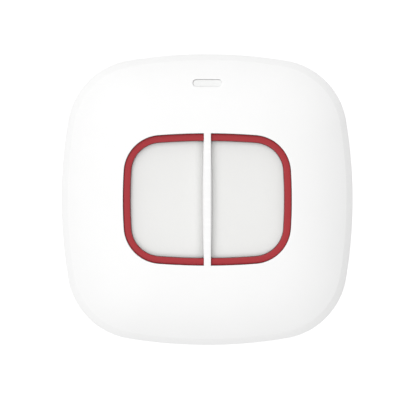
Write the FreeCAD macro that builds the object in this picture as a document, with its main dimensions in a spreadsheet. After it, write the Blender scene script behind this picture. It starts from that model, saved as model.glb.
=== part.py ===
import FreeCAD, Part
import math
import os
import Sketcher

# Wireless panic button lying on its back, front facing up, sizes in millimetres
V = FreeCAD.Vector
UP = V(0, 0, 1)
doc = FreeCAD.newDocument("panic_button")
dims = doc.addObject("Spreadsheet::Sheet", "dims")

sizes = {
    # Outer form of the shell
    "body_width": 72.0, "side_bow": 118.7, "corner_radius": 17.95,
    "rim_level": 0.4, "wall_top": 9.7, "wall_draft": 0.25,
    "bevel_width": 1.65, "bevel_height": 1.8,
    "crown_height": 6.0, "crown_power": 4.0, "wall_thickness": 2.0,
    # Red ring in the well, its opening given as shares of the body's half width
    "ring_share_across": 0.5222, "ring_share_along": 0.3969,
    "ring_side_bow": 112.0, "ring_end_bow": 154.0, "ring_corner": 7.4,
    "ring_border": 1.79, "ring_gap": 0.15,
    "ring_top": 15.9, "ring_floor": 12.6, "ring_edge": 0.2,
    # Collar that the ring is pushed up against and the rib across the well
    "collar_width": 2.6, "collar_floor": 13.8, "flange_inset": 1.0,
    "rib_top_width": 1.74, "rib_foot_width": 2.2, "rib_floor": 12.2,
    "saddle_gap": 0.15, "saddle_side_gap": 0.06,
    # Keys, their carrier, switches and springs
    "key_gap": 0.2, "key_side_gap": 0.12, "key_rim": 14.4, "key_dish": 0.45, "key_edge": 0.35,
    "key_flange": 0.85, "flange_depth": 1.0, "key_skin": 1.8, "key_wall": 1.2,
    "carrier_border": 2.0, "bridge_width": 1.6, "bridge_top": 12.0,
    "switch_size": 6.0, "switch_depth": 3.1, "plunger_width": 3.4,
    "plunger_length": 2.0, "plunger_gap": 0.1, "switch_cup": 2.2,
    "spring_width": 9.3, "spring_wire": 0.35, "spring_turns": 4.0,
    # Status window
    "window_length": 7.15, "window_width": 1.93, "window_inset": 7.6,
    "pipe_gap": 0.05, "pipe_top": 13.8, "pipe_foot": 9.9,
    "pipe_flange": 1.1, "pipe_seat": 11.2, "seat_border": 1.3,
    "led_length": 2.8, "led_width": 1.4, "led_depth": 0.8,
    # Main board and its fixing
    "board_inset": 4.3, "board_rear": 7.6, "board_front": 8.8,
    "boss_inset_across": 10.5, "boss_inset_along": 17.0, "boss_width": 5.0,
    "screw_thread": 2.0, "screw_pilot": 1.7, "screw_length": 4.0,
    "screw_head": 3.8, "screw_head_depth": 1.4, "board_clear": 2.3,
    # Battery and its holder
    "cell_width": 24.5, "cell_depth": 5.0, "cell_inset": 24.0, "cell_floor": 2.4,
    "holder_gap": 0.3, "holder_wall": 1.5, "holder_floor": 3.0,
    "contact_sheet": 0.3, "contact_width": 5.0,
    "contact_reach": 3.6, "leaf_length": 15.0,
    # Radio and small parts on the board
    "coil_wire": 0.6, "coil_width": 3.6, "coil_turns": 6.0, "coil_length": 9.0,
    "coil_inset_across": 19.0, "coil_inset_along": 13.2, "coil_lift": 0.1,
    "radio_length": 16.0, "radio_width": 12.0, "radio_depth": 0.8,
    "radio_inset_across": 22.0, "radio_inset_along": 18.0,
    "shield_length": 12.5, "shield_width": 9.5, "shield_depth": 1.8, "shield_sheet": 0.2,
    "chip_size": 7.0, "chip_depth": 0.9, 
    "chip_inset_across": 24.0, "chip_inset_along": 19.0,
    "crystal_length": 3.2, "crystal_width": 2.5, "crystal_depth": 0.8,
    "crystal_inset_across": 17.0, "crystal_inset_along": 24.0,
    "capacitor_length": 1.6, "capacitor_width": 0.8, "capacitor_depth": 0.8,
    "capacitor_pitch": 3.0, "capacitor_inset": 25.5,
    "tamper_size": 6.0, "tamper_depth": 3.4, "tamper_gap": 1.15,
    "tamper_drop": 8.0, "tamper_plunger": 3.0, "tamper_reach": 0.8,
    # Rear panel
    "panel_depth": 2.0, "panel_ledge": 1.0, "panel_gap": 0.1,
    "wall_hole": 4.4, "wall_hole_length": 8.4, "wall_hole_inset": 12.0,
    "hook_pitch": 16.0, "hook_width": 5.0, "hook_gap": 0.8, "hook_sheet": 1.5,
    "hook_top": 6.0, "barb_reach": 1.2, "barb_floor": 4.2, "barb_depth": 1.2,
    "catch_gap": 0.15,
}
for row, (alias, number) in enumerate(sizes.items(), start=1):
    dims.set(f"A{row}", alias)
    dims.set(f"B{row}", str(number))
    dims.setAlias(f"B{row}", alias)
doc.recompute()

# Outlines with bowed sides: half width, half height, side bow, end bow, corner radius
HALF = "(dims.body_width / 2)"
BODY = (HALF, HALF, "dims.side_bow", "dims.side_bow", "dims.corner_radius")
RING = (f"({HALF} * dims.ring_share_across)", f"({HALF} * dims.ring_share_along)",
        "dims.ring_side_bow", "dims.ring_end_bow", "dims.ring_corner")

# Ratios and levels worked out from the sizes
DRAFTED = f"(1 - dims.wall_draft / {HALF})"
SHOULDER = f"(1 - (dims.wall_draft + dims.bevel_width) / {HALF})"
BEVEL_TOP = "(dims.wall_top + dims.bevel_height)"
FRONT = f"({BEVEL_TOP} + dims.crown_height)"
RIB_TOP = f"({FRONT} + 0.2)"
KEY_ROOF = "(dims.key_rim - dims.key_skin)"
FLANGE_FOOT = "(dims.ring_floor - dims.flange_depth)"
SWITCH_TOP = "(dims.board_front + dims.switch_depth)"
KEY_EDGE = "(dims.rib_foot_width / 2 + dims.key_side_gap)"
KEY_CENTRE = f"(({RING[0]} + dims.rib_foot_width / 2) / 2)"
HOOK_LINE = f"({HALF} - dims.wall_thickness - dims.hook_gap)"

# Places of the inner parts, kept at their distances from the body's sides
BOSS_X = f"({HALF} - dims.boss_inset_across)"
BOSS_Y = f"({HALF} - dims.boss_inset_along)"
WINDOW = ("0", f"({HALF} - dims.window_inset)")
CELL = ("0", f"(dims.cell_inset - {HALF})")
COIL = (f"(dims.coil_inset_across - {HALF})", f"({HALF} - dims.coil_inset_along)")
RADIO = (f"(dims.radio_inset_across - {HALF})", f"({HALF} - dims.radio_inset_along)")
CHIP = (f"({HALF} - dims.chip_inset_across)", f"({HALF} - dims.chip_inset_along)")
CRYSTAL = (f"({HALF} - dims.crystal_inset_across)", f"({HALF} - dims.crystal_inset_along)")
TAMPER = ("(dims.cell_width / 2 + dims.contact_reach + dims.tamper_gap + dims.tamper_size / 2)",
          f"(dims.tamper_drop - {BOSS_Y})")
WALL_HOLE = f"({HALF} - dims.wall_hole_inset)"
CROWN_STATIONS = (1.0, 0.96, 0.9, 0.82, 0.72, 0.6, 0.42, 0.2)


def value(formula):
    """Number that a formula gives with the sizes in the sheet."""
    result = dims.evalExpression(str(formula))
    return float(getattr(result, "Value", result))


def grown(form, by):
    """Outline moved outwards by a distance, or inwards by a negative one."""
    return tuple(f"({term} + ({by}))" for term in form)


def scaled(form, ratio):
    """Outline shrunk about its centre."""
    return tuple(f"({term} * {ratio})" for term in form)


WELL = grown(RING, "dims.ring_border")
COLLAR = grown(WELL, "dims.collar_width")


def new_body(name):
    body = doc.addObject("PartDesign::Body", name)
    body.Label = name
    return body


def new_sketch(body, name, offset="0", plane="XY_Plane"):
    """Sketch on one of the body's own planes, moved along that plane's normal."""
    sketch = body.newObject("Sketcher::SketchObject", name)
    support = next(item for item in body.Origin.OriginFeatures if item.Role == plane)
    sketch.AttachmentSupport = [(support, "")]
    sketch.MapMode = "FlatFace"
    sketch.setExpression("AttachmentOffset.Base.z", offset)
    return sketch


def measure(sketch, kind, places, formula):
    """Dimension in a sketch that follows the sheet."""
    index = sketch.addConstraint(Sketcher.Constraint(kind, *places, value(formula)))
    sketch.setExpression(f"Constraints[{index}]", str(formula))


def pin(sketch, edge, point, x, y):
    """Hold one point of the sketch at a place measured from the origin."""
    measure(sketch, "DistanceX", (-1, 1, edge, point), x)
    measure(sketch, "DistanceY", (-1, 1, edge, point), y)


def arc(x, y, radius, start, end):
    return Part.ArcOfCircle(Part.Circle(V(x, y, 0), UP, radius), start, end)


def bow_angles(half_x, half_y, side_bow, end_bow, corner):
    """Corner centre and the two angles where the corner meets the bowed sides."""
    side = (half_x - side_bow, 0.0)
    end = (0.0, half_y - end_bow)
    span = math.dist(side, end)
    ray_side = side_bow - corner
    ray_end = end_bow - corner
    along = (ray_side ** 2 - ray_end ** 2 + span ** 2) / (2 * span)
    off = math.sqrt(ray_side ** 2 - along ** 2)
    step = ((end[0] - side[0]) / span, (end[1] - side[1]) / span)
    centre = (side[0] + along * step[0] + off * abs(step[1]),
              side[1] + along * step[1] + off * abs(step[0]))
    start = math.atan2(centre[1] - side[1], centre[0] - side[0])
    stop = math.atan2(centre[1] - end[1], centre[0] - end[0])
    return centre, start, stop


def outline(sketch, form):
    """Closed outline of four bowed sides and four corner arcs, all tangent."""
    half_x, half_y, side_bow, end_bow, corner = (value(term) for term in form)
    (cx, cy), low, high = bow_angles(half_x, half_y, side_bow, end_bow, corner)
    sx = half_x - side_bow
    sy = half_y - end_bow
    pi = math.pi
    arcs = [
        arc(sx, 0, side_bow, -low, low), arc(cx, cy, corner, low, high),
        arc(0, sy, end_bow, high, pi - high), arc(-cx, cy, corner, pi - high, pi - low),
        arc(-sx, 0, side_bow, pi - low, pi + low), arc(-cx, -cy, corner, pi + low, pi + high),
        arc(0, -sy, end_bow, pi + high, 2 * pi - high),
        arc(cx, -cy, corner, 2 * pi - high, 2 * pi - low),
    ]
    ids = sketch.addGeometry(arcs, False)
    for index in range(8):
        joint = (ids[index], 2, ids[(index + 1) % 8], 1)
        sketch.addConstraint(Sketcher.Constraint("Tangent", *joint))
    for index, axis in ((0, -1), (4, -1), (2, -2), (6, -2)):
        sketch.addConstraint(Sketcher.Constraint("PointOnObject", ids[index], 3, axis))
    for index in range(8):
        radius = form[4] if index % 2 else form[2] if index % 4 == 0 else form[3]
        measure(sketch, "Radius", (ids[index],), radius)
    measure(sketch, "DistanceX", (ids[0], 3, -1, 1), f"{form[2]} - {form[0]}")
    measure(sketch, "DistanceX", (-1, 1, ids[4], 3), f"{form[2]} - {form[0]}")
    measure(sketch, "DistanceY", (ids[2], 3, -1, 1), f"{form[3]} - {form[1]}")
    measure(sketch, "DistanceY", (-1, 1, ids[6], 3), f"{form[3]} - {form[1]}")


def half_outline(sketch, form, cut, side):
    """The part of an outline beyond a straight cut, on the right (1) or left (-1)."""
    half_x, half_y, side_bow, end_bow, corner = (value(term) for term in form)
    (cx, cy), low, high = bow_angles(half_x, half_y, side_bow, end_bow, corner)
    sx = half_x - side_bow
    sy = half_y - end_bow
    edge = value(cut)
    turn = math.acos(edge / end_bow)
    pi = math.pi

    def placed(x, y, radius, start, end):
        if side < 0:
            return arc(-x, y, radius, pi - end, pi - start)
        return arc(x, y, radius, start, end)

    arcs = [
        placed(0, -sy, end_bow, 2 * pi - turn, 2 * pi - high),
        placed(cx, -cy, corner, 2 * pi - high, 2 * pi - low),
        placed(sx, 0, side_bow, -low, low),
        placed(cx, cy, corner, low, high),
        placed(0, sy, end_bow, high, turn),
    ]
    tip = sy + end_bow * math.sin(turn)
    closing = Part.LineSegment(V(side * edge, tip, 0), V(side * edge, -tip, 0))
    ids = sketch.addGeometry(arcs + [closing], False)
    first, last = (1, 2) if side > 0 else (2, 1)
    for index in range(4):
        joint = (ids[index], last, ids[index + 1], first)
        sketch.addConstraint(Sketcher.Constraint("Tangent", *joint))
    sketch.addConstraint(Sketcher.Constraint("Coincident", ids[4], last, ids[5], 1))
    sketch.addConstraint(Sketcher.Constraint("Coincident", ids[5], 2, ids[0], first))
    sketch.addConstraint(Sketcher.Constraint("Vertical", ids[5]))
    for index, axis in ((0, -2), (2, -1), (4, -2)):
        sketch.addConstraint(Sketcher.Constraint("PointOnObject", ids[index], 3, axis))
    for index, place in enumerate((3, 4, 2, 4, 3)):
        measure(sketch, "Radius", (ids[index],), form[place])
    measure(sketch, "DistanceX", (-1, 1, ids[5], 1), f"{side} * ({cut})")
    measure(sketch, "DistanceX", (-1, 1, ids[2], 3), f"{side} * ({form[0]} - {form[2]})")
    measure(sketch, "DistanceY", (-1, 1, ids[0], 3), f"{form[3]} - {form[1]}")
    measure(sketch, "DistanceY", (ids[4], 3, -1, 1), f"{form[3]} - {form[1]}")


def circle(sketch, width, x="0", y="0"):
    centre = V(value(x), value(y), 0)
    index = sketch.addGeometry(Part.Circle(centre, UP, value(width) / 2), False)
    measure(sketch, "Diameter", (index,), width)
    pin(sketch, index, 3, x, y)


def polygon(sketch, corners):
    """Closed run of straight lines through the given corner formulas."""
    points = [V(value(x), value(y), 0) for x, y in corners]
    count = len(points)
    lines = [Part.LineSegment(points[n], points[(n + 1) % count]) for n in range(count)]
    ids = sketch.addGeometry(lines, False)
    for n in range(count):
        joint = (ids[n], 2, ids[(n + 1) % count], 1)
        sketch.addConstraint(Sketcher.Constraint("Coincident", *joint))
        pin(sketch, ids[n], 1, *corners[n])


def rectangle(sketch, length, width, x="0", y="0"):
    left, right = f"{x} - ({length}) / 2", f"{x} + ({length}) / 2"
    low, high = f"{y} - ({width}) / 2", f"{y} + ({width}) / 2"
    polygon(sketch, ((left, low), (right, low), (right, high), (left, high)))


def stadium(sketch, length, width, x="0", y="0"):
    """Slot with fully round ends, its length along X."""
    radius = value(width) / 2
    reach = value(length) / 2 - radius
    cx, cy = value(x), value(y)
    top = Part.LineSegment(V(cx + reach, cy + radius, 0), V(cx - reach, cy + radius, 0))
    foot = Part.LineSegment(V(cx - reach, cy - radius, 0), V(cx + reach, cy - radius, 0))
    left = arc(cx - reach, cy, radius, math.pi / 2, 3 * math.pi / 2)
    right = arc(cx + reach, cy, radius, -math.pi / 2, math.pi / 2)
    ids = sketch.addGeometry([top, left, foot, right], False)
    for n in range(4):
        joint = (ids[n], 2, ids[(n + 1) % 4], 1)
        sketch.addConstraint(Sketcher.Constraint("Tangent", *joint))
    sketch.addConstraint(Sketcher.Constraint("Horizontal", ids[0]))
    measure(sketch, "Radius", (ids[1],), f"({width}) / 2")
    pin(sketch, ids[1], 3, f"{x} - (({length}) - ({width})) / 2", y)
    measure(sketch, "DistanceX", (-1, 1, ids[3], 3), f"{x} + (({length}) - ({width})) / 2")


def add(body, what, low, high, *shapes):
    """Solid between two levels with the given outlines."""
    sketch = new_sketch(body, f"{what}_sketch", low)
    for draw, *facts in shapes:
        draw(sketch, *facts)
    feature = body.newObject("PartDesign::Pad", what)
    feature.Profile = sketch
    feature.setExpression("Length", f"({high}) - ({low})")
    return feature


def cut(body, what, high, low, *shapes):
    """Cut from an upper level down to a lower one with the given outlines."""
    sketch = new_sketch(body, f"{what}_sketch", high)
    for draw, *facts in shapes:
        draw(sketch, *facts)
    feature = body.newObject("PartDesign::Pocket", what)
    feature.Profile = sketch
    feature.setExpression("Length", f"({high}) - ({low})")
    return feature


def cut_up(body, what, low, high, *shapes):
    """Cut from a lower level up to a higher one with the given outlines."""
    feature = cut(body, what, low, high, *shapes)
    feature.Reversed = True
    feature.setExpression("Length", f"({high}) - ({low})")
    return feature


def across(body, what, kind, corners, length):
    """Profile in the upright plane, extruded the same way to both sides along Y."""
    sketch = new_sketch(body, f"{what}_sketch", "0", "XZ_Plane")
    for run in corners:
        polygon(sketch, run)
    feature = body.newObject(f"PartDesign::{kind}", what)
    feature.Profile = sketch
    feature.Midplane = True
    feature.setExpression("Length", length)
    return feature


def loft(body, what, kind, sections, ruled=False):
    """Loft through outlines, each given with its level."""
    sketches = []
    for number, (level, form) in enumerate(sections, start=1):
        sketch = new_sketch(body, f"{what}_section{number}", level)
        outline(sketch, form)
        sketches.append(sketch)
    feature = body.newObject(f"PartDesign::{kind}", what)
    feature.Profile = sketches[0]
    feature.Sections = sketches[1:]
    feature.Ruled = ruled
    return feature


def edges_at(feature, level):
    """Names of a feature's edges lying at one level."""
    doc.recompute()
    height = value(level)
    names = []
    for number, edge in enumerate(feature.Shape.Edges, start=1):
        points = [vertex.Point.z for vertex in edge.Vertexes]
        if all(abs(z - height) < 0.01 for z in points):
            names.append(f"Edge{number}")
    return names


def chamfer(body, what, feature, level, size):
    bevel = body.newObject("PartDesign::Chamfer", what)
    bevel.Base = (feature, edges_at(feature, level))
    bevel.setExpression("Size", size)
    return bevel


def revolve(body, what, kind, corners, x="0", y="0"):
    """Turned shape about an upright axis through a point; corners are radius and level."""
    sketch = new_sketch(body, f"{what}_sketch", f"-({y})", "XZ_Plane")
    sketch.setExpression("AttachmentOffset.Base.x", x)
    polygon(sketch, corners)
    feature = body.newObject(f"PartDesign::{kind}", what)
    feature.Profile = sketch
    feature.ReferenceAxis = (sketch, ["V_Axis"])
    feature.Angle = 360
    return feature


def block(name, length, width, low, high, x, y):
    """Plain block centred on a point, between two levels."""
    box = doc.addObject("Part::Box", name)
    box.Label = name
    box.setExpression("Length", length)
    box.setExpression("Width", width)
    box.setExpression("Height", f"({high}) - ({low})")
    box.setExpression("Placement.Base.x", f"{x} - ({length}) / 2")
    box.setExpression("Placement.Base.y", f"{y} - ({width}) / 2")
    box.setExpression("Placement.Base.z", low)
    return box


def shell_form(body, what, kind, form, low, drop, crown):
    """Drafted wall, bevel and crown, lofted through outlines of one shape."""
    wall_top = f"(dims.wall_top - {drop} * 0.5)"
    shoulder = f"({BEVEL_TOP} - {drop} * 0.7)"
    edge = scaled(form, DRAFTED)
    rim = scaled(form, SHOULDER)
    loft(body, f"{what}_wall", kind, ((low, form), (wall_top, edge)), ruled=True)
    loft(body, f"{what}_bevel", kind, ((wall_top, edge), (shoulder, rim)), ruled=True)
    sections = []
    for station in CROWN_STATIONS:
        rise = f"(1 - pow({station}; dims.crown_power))"
        sections.append((f"{shoulder} + ({crown}) * {rise}", scaled(rim, station)))
    loft(body, f"{what}_crown", kind, sections)


def build_core():
    """Core that shapes the shell's inside; what is cut out of it stays on the shell."""
    core = new_body("shell_core")
    inner = grown(BODY, "-dims.wall_thickness")
    inner_crown = "dims.crown_height - dims.wall_thickness * 0.3"
    shell_form(core, "core", "AdditiveLoft", inner, "dims.rim_level",
               "dims.wall_thickness", inner_crown)
    cut_up(core, "core_collar", "dims.collar_floor", FRONT, (outline, COLLAR))
    cut_up(core, "core_rib", "dims.rib_floor", FRONT,
           (rectangle, "dims.rib_foot_width", f"2 * ({RING[1]} - dims.key_gap)"))
    cut_up(core, "core_seat", "dims.pipe_seat", FRONT,
           (rectangle, "dims.window_length + 2 * dims.seat_border",
            "dims.window_width + 2 * dims.seat_border", *WINDOW))
    bosses = [(circle, "dims.boss_width", *place) for place in boss_places()]
    cut_up(core, "core_bosses", "dims.board_front", FRONT, *bosses)
    return core


def build_front_shell():
    core = build_core()
    body = new_body("front_shell")
    shell_form(body, "shell", "AdditiveLoft", BODY, "dims.rim_level", "0", "dims.crown_height")
    hollow = body.newObject("PartDesign::Boolean", "shell_hollow")
    hollow.Type = "Cut"
    hollow.setObjects([core])
    pilots = [(circle, "dims.screw_pilot", *place) for place in boss_places()]
    cut(body, "pilots", "dims.board_front + dims.screw_length", "dims.board_front", *pilots)
    # The well is cut as two openings that leave the rib standing
    cut(body, "well", FRONT, "dims.rib_floor - 1",
        (half_outline, WELL, "dims.rib_foot_width / 2", 1),
        (half_outline, WELL, "dims.rib_foot_width / 2", -1))
    wedges = []
    for side in (-1, 1):
        wedges.append(((f"{side} * dims.rib_top_width / 2", RIB_TOP),
                       (f"{side} * dims.rib_foot_width / 2", "dims.rib_floor"),
                       (f"{side} * dims.rib_foot_width / 2", RIB_TOP)))
    across(body, "rib_draft", "Pocket", wedges, f"2 * {WELL[1]}")
    cut(body, "window", FRONT, "dims.pipe_seat - 1",
        (stadium, "dims.window_length", "dims.window_width", *WINDOW))
    # Ledge for the rear panel and the catches for its hooks
    ledge = grown(BODY, "-dims.panel_ledge")
    cut(body, "ledge", "dims.panel_depth", "dims.rim_level - 1", (outline, ledge))
    catches = []
    reach = "dims.barb_reach + dims.catch_gap + 1"
    for x, side in hook_places():
        middle = f"{side} * ({HOOK_LINE} + (dims.barb_reach + dims.catch_gap - 1) / 2)"
        catches.append((rectangle, "dims.hook_width + 2 * dims.catch_gap", reach, x, middle))
    cut(body, "catches", "dims.barb_floor + dims.barb_depth + dims.catch_gap",
        "dims.barb_floor - dims.catch_gap", *catches)
    return body


def boss_places():
    """Centres of the four bosses that carry the board."""
    return [(f"{side} * {BOSS_X}", f"{end} * {BOSS_Y}") for side in (-1, 1) for end in (-1, 1)]


def hook_places():
    """Two hooks at the top of the panel and one snap in the middle of the bottom."""
    return (("dims.hook_pitch / 2", "1"), ("-dims.hook_pitch / 2", "1"), ("0", "-1"))


def build_accent_ring():
    body = new_body("accent_ring")
    outer = grown(WELL, "-dims.ring_gap")
    add(body, "ring_wall", "dims.ring_floor", "dims.ring_top", (outline, outer), (outline, RING))
    flange = add(body, "ring_flange", "dims.ring_floor", "dims.collar_floor",
                 (outline, grown(COLLAR, "-dims.flange_inset")), (outline, RING))
    chamfer(body, "ring_edges", flange, "dims.ring_top", "dims.ring_edge")
    # Saddles that straddle the drafted rib
    low = "(dims.collar_floor - dims.saddle_gap)"
    saddle = [(f"{side} * {rib_side(level)}", level)
              for side, level in ((-1, low), (1, low), (1, RIB_TOP), (-1, RIB_TOP))]
    across(body, "ring_saddles", "Pocket", [saddle], f"2 * {COLLAR[1]} + 2")
    return body


def rib_side(level):
    """Half width of a saddle that follows the rib's draft at a small distance."""
    lean = "(dims.rib_foot_width - dims.rib_top_width) / 2"
    share = f"({level} - dims.rib_floor) / ({RIB_TOP} - dims.rib_floor)"
    return f"(dims.rib_foot_width / 2 + dims.saddle_side_gap - {lean} * {share})"


def build_key(name, side):
    body = new_body(name)
    face = grown(RING, "-dims.key_gap")
    skirt = grown(RING, "dims.key_flange")
    flange = add(body, f"{name}_flange", FLANGE_FOOT, "dims.ring_floor",
                 (half_outline, skirt, KEY_EDGE, side))
    block_top = add(body, f"{name}_cap", FLANGE_FOOT, "dims.key_rim",
                    (half_outline, face, KEY_EDGE, side))
    chamfer(body, f"{name}_edge", block_top, "dims.key_rim", "dims.key_edge")
    hollow = grown(RING, "-dims.key_gap - dims.key_wall")
    cut(body, f"{name}_hollow", "dims.ring_floor", f"{FLANGE_FOOT} - 1",
        (half_outline, hollow, f"{KEY_EDGE} + dims.key_wall", side))
    # Shallow dish turned about the middle of the key
    sketch = new_sketch(body, f"{name}_dish_sketch", "0", "XZ_Plane")
    sketch.setExpression("AttachmentOffset.Base.x", f"{side} * {KEY_CENTRE}")
    dish_profile(sketch)
    groove = body.newObject("PartDesign::Groove", f"{name}_dish")
    groove.Profile = sketch
    groove.ReferenceAxis = (sketch, ["V_Axis"])
    groove.Angle = 360
    return body


def dish_profile(sketch):
    """Segment under a wide arc whose middle lies the dish depth below the key's rim."""
    reach = f"({RING[1]} - 1)"
    radius = f"(pow({reach}; 2) + pow(dims.key_dish; 2)) / (2 * dims.key_dish)"
    r, rim, depth, half = (value(f) for f in (radius, "dims.key_rim", "dims.key_dish", reach))
    start = -math.pi / 2
    bowl = arc(0, rim - depth + r, r, start, start + math.asin(half / r))
    top = Part.LineSegment(V(half, rim, 0), V(0, rim, 0))
    axis = Part.LineSegment(V(0, rim, 0), V(0, rim - depth, 0))
    ids = sketch.addGeometry([bowl, top, axis], False)
    for first, second in ((0, 1), (1, 2), (2, 0)):
        joint = (ids[first], 2, ids[second], 1)
        sketch.addConstraint(Sketcher.Constraint("Coincident", *joint))
    sketch.addConstraint(Sketcher.Constraint("PointOnObject", ids[0], 3, -2))
    sketch.addConstraint(Sketcher.Constraint("Horizontal", ids[1]))
    measure(sketch, "Radius", (ids[0],), radius)
    pin(sketch, ids[2], 1, "0", "dims.key_rim")
    measure(sketch, "DistanceY", (ids[2], 2, ids[2], 1), "dims.key_dish")


def build_key_carrier():
    body = new_body("key_carrier")
    shaft = grown(RING, "dims.key_flange + dims.key_gap")
    rim = grown(shaft, "dims.carrier_border")
    add(body, "carrier_frame", "dims.board_front", "dims.ring_floor",
        (outline, rim), (outline, shaft))
    add(body, "carrier_bridge", "dims.board_front", "dims.bridge_top",
        (rectangle, "dims.bridge_width", f"2 * ({shaft[1]} + dims.carrier_border / 2)"))
    return body


def build_switch(name, side):
    body = new_body(f"{name}_switch_body")
    place = (f"{side} * {KEY_CENTRE}", "0")
    add(body, f"{name}_switch_case", "dims.board_front", SWITCH_TOP,
        (rectangle, "dims.switch_size", "dims.switch_size", *place))
    cut(body, f"{name}_switch_well", SWITCH_TOP, f"{SWITCH_TOP} - dims.switch_cup",
        (circle, "dims.plunger_width + 2 * dims.plunger_gap", *place))
    plunger = new_body(f"{name}_switch_plunger")
    post = add(plunger, f"{name}_plunger_post", f"{KEY_ROOF} - dims.plunger_length", KEY_ROOF,
               (circle, "dims.plunger_width", *place))
    return body, plunger


def build_spring(name, side):
    """Compression spring with its ends drawn down flat onto the board and the key."""
    wire = "dims.spring_wire"
    body = new_body(f"{name}_return_spring")
    helix_height = f"{KEY_ROOF} - dims.board_front - {wire}"
    sketch = new_sketch(body, f"{name}_wire_sketch", "0", "XZ_Plane")
    sketch.setExpression("AttachmentOffset.Base.x", f"{side} * {KEY_CENTRE}")
    sketch.setExpression("AttachmentOffset.Base.y", f"dims.board_front + {wire} / 2")
    circle(sketch, wire, "(dims.spring_width - dims.spring_wire) / 2", "0")
    coil = body.newObject("PartDesign::AdditiveHelix", f"{name}_coil")
    coil.Profile = sketch
    coil.ReferenceAxis = (sketch, ["V_Axis"])
    coil.Mode = "height-turns-angle"
    coil.setExpression("Height", helix_height)
    coil.setExpression("Turns", "dims.spring_turns")
    return body


def build_light_pipe():
    body = new_body("light_pipe")
    length = "dims.window_length - 2 * dims.pipe_gap"
    width = "dims.window_width - 2 * dims.pipe_gap"
    add(body, "pipe_stem", "dims.pipe_foot", "dims.pipe_top", (stadium, length, width, *WINDOW))
    add(body, "pipe_flange", "dims.pipe_seat - dims.pipe_flange", "dims.pipe_seat",
        (stadium, f"{length} + 2 * dims.pipe_flange", f"{width} + 2 * dims.pipe_flange", *WINDOW))
    return body


def build_main_board():
    body = new_body("main_board")
    add(body, "board_sheet", "dims.board_rear", "dims.board_front",
        (outline, grown(BODY, "-dims.board_inset")))
    holes = [(circle, "dims.board_clear", *place) for place in boss_places()]
    cut(body, "board_holes", "dims.board_front", "dims.board_rear", *holes)
    return body


def cross_recess():
    """Corners of a cross, one arm turned on by a quarter turn at a time."""
    arm = [("1.1", "0.3"), ("0.3", "0.3"), ("0.3", "1.1")]
    corners = []
    for quarter in range(4):
        corners += arm
        arm = [(f"-({y})", x) for x, y in arm]
    return corners


def build_board_screws():
    """Four equal screws, driven from behind, as one group of separate solids."""
    screws = []
    head = "dims.board_rear - dims.screw_head_depth"
    tip = "dims.board_front + dims.screw_length - 0.4"
    thread = "dims.screw_thread / 2 - 0.15"
    for x, y in boss_places():
        screw = new_body(f"board_screw{len(screws) + 1}")
        revolve(screw, f"{screw.Name}_turned", "Revolution", (
            ("0", head), ("dims.screw_head / 2 - 0.3", head),
            ("dims.screw_head / 2", f"{head} + 0.5"), ("dims.screw_head / 2", "dims.board_rear"),
            (thread, "dims.board_rear"), (thread, f"{tip} - 0.6"), ("0", tip)))
        cut_up(screw, f"{screw.Name}_cross", head, f"{head} + 0.8", (polygon, cross_recess()))
        screw.setExpression("Placement.Base.x", x)
        screw.setExpression("Placement.Base.y", y)
        screws.append(screw)
    group = doc.addObject("Part::Compound", "board_screws")
    group.Label = "board_screws"
    group.Links = screws
    return group


def build_battery():
    cell = new_body("coin_cell")
    top = "dims.cell_floor + dims.cell_depth"
    rim = "dims.cell_width / 2"
    revolve(cell, "cell_can", "Revolution", (
        ("0", "dims.cell_floor"), (f"{rim} - 0.4", "dims.cell_floor"),
        (rim, "dims.cell_floor + 0.4"), (rim, f"{top} - 0.5"), (f"{rim} - 1.4", f"{top} - 0.5"),
        (f"{rim} - 1.4", top), ("0", top)), *CELL)
    holder = new_body("battery_holder")
    inner = "dims.cell_width + 2 * dims.holder_gap"
    add(holder, "holder_wall", "dims.holder_floor", "dims.board_rear",
        (circle, f"{inner} + 2 * dims.holder_wall", *CELL), (circle, inner, *CELL))
    cut(holder, "holder_notch", "dims.board_rear", "dims.holder_floor",
        (rectangle, "6", "dims.contact_width + 1", f"{rim} + 2", CELL[1]))
    return cell, holder


def build_contacts():
    rim = "dims.cell_width / 2"
    strip = new_body("positive_contact")
    middle = CELL[1]
    add(strip, "contact_arm", "dims.holder_floor", "dims.board_rear",
        (rectangle, "dims.contact_sheet", "dims.contact_width",
         f"{rim} + dims.contact_sheet / 2", middle))
    add(strip, "contact_foot", "dims.board_rear - dims.contact_sheet", "dims.board_rear",
        (rectangle, "dims.contact_reach", "dims.contact_width",
         f"{rim} + dims.contact_reach / 2", middle))
    leaf = block("negative_contact", "dims.leaf_length", "dims.contact_width",
                 "dims.cell_floor + dims.cell_depth", "dims.board_rear", "0", middle)
    return strip, leaf


def build_antenna_coil():
    """Wire coil lying along X, with a short leg at each end standing on the board."""
    body = new_body("antenna_coil")
    wire = "dims.coil_wire"
    radius = f"(dims.coil_width - {wire}) / 2"
    axis_level = "dims.board_front + dims.coil_lift + dims.coil_width / 2"
    sketch = new_sketch(body, "antenna_wire_sketch", f"-{COIL[1]}", "XZ_Plane")
    sketch.setExpression("AttachmentOffset.Base.x", COIL[0])
    sketch.setExpression("AttachmentOffset.Base.y", axis_level)
    circle(sketch, wire, "0", f"-{radius}")
    coil = body.newObject("PartDesign::AdditiveHelix", "antenna_turns")
    coil.Profile = sketch
    coil.ReferenceAxis = (sketch, ["H_Axis"])
    coil.Mode = "height-turns-angle"
    coil.setExpression("Height", "dims.coil_length")
    coil.setExpression("Turns", "dims.coil_turns")
    legs = [(circle, f"{wire} * 0.9", x, COIL[1])
            for x in (COIL[0], f"{COIL[0]} + dims.coil_length")]
    add(body, "antenna_legs", "dims.board_front", f"{axis_level} - {radius}", *legs)
    return body


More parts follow.
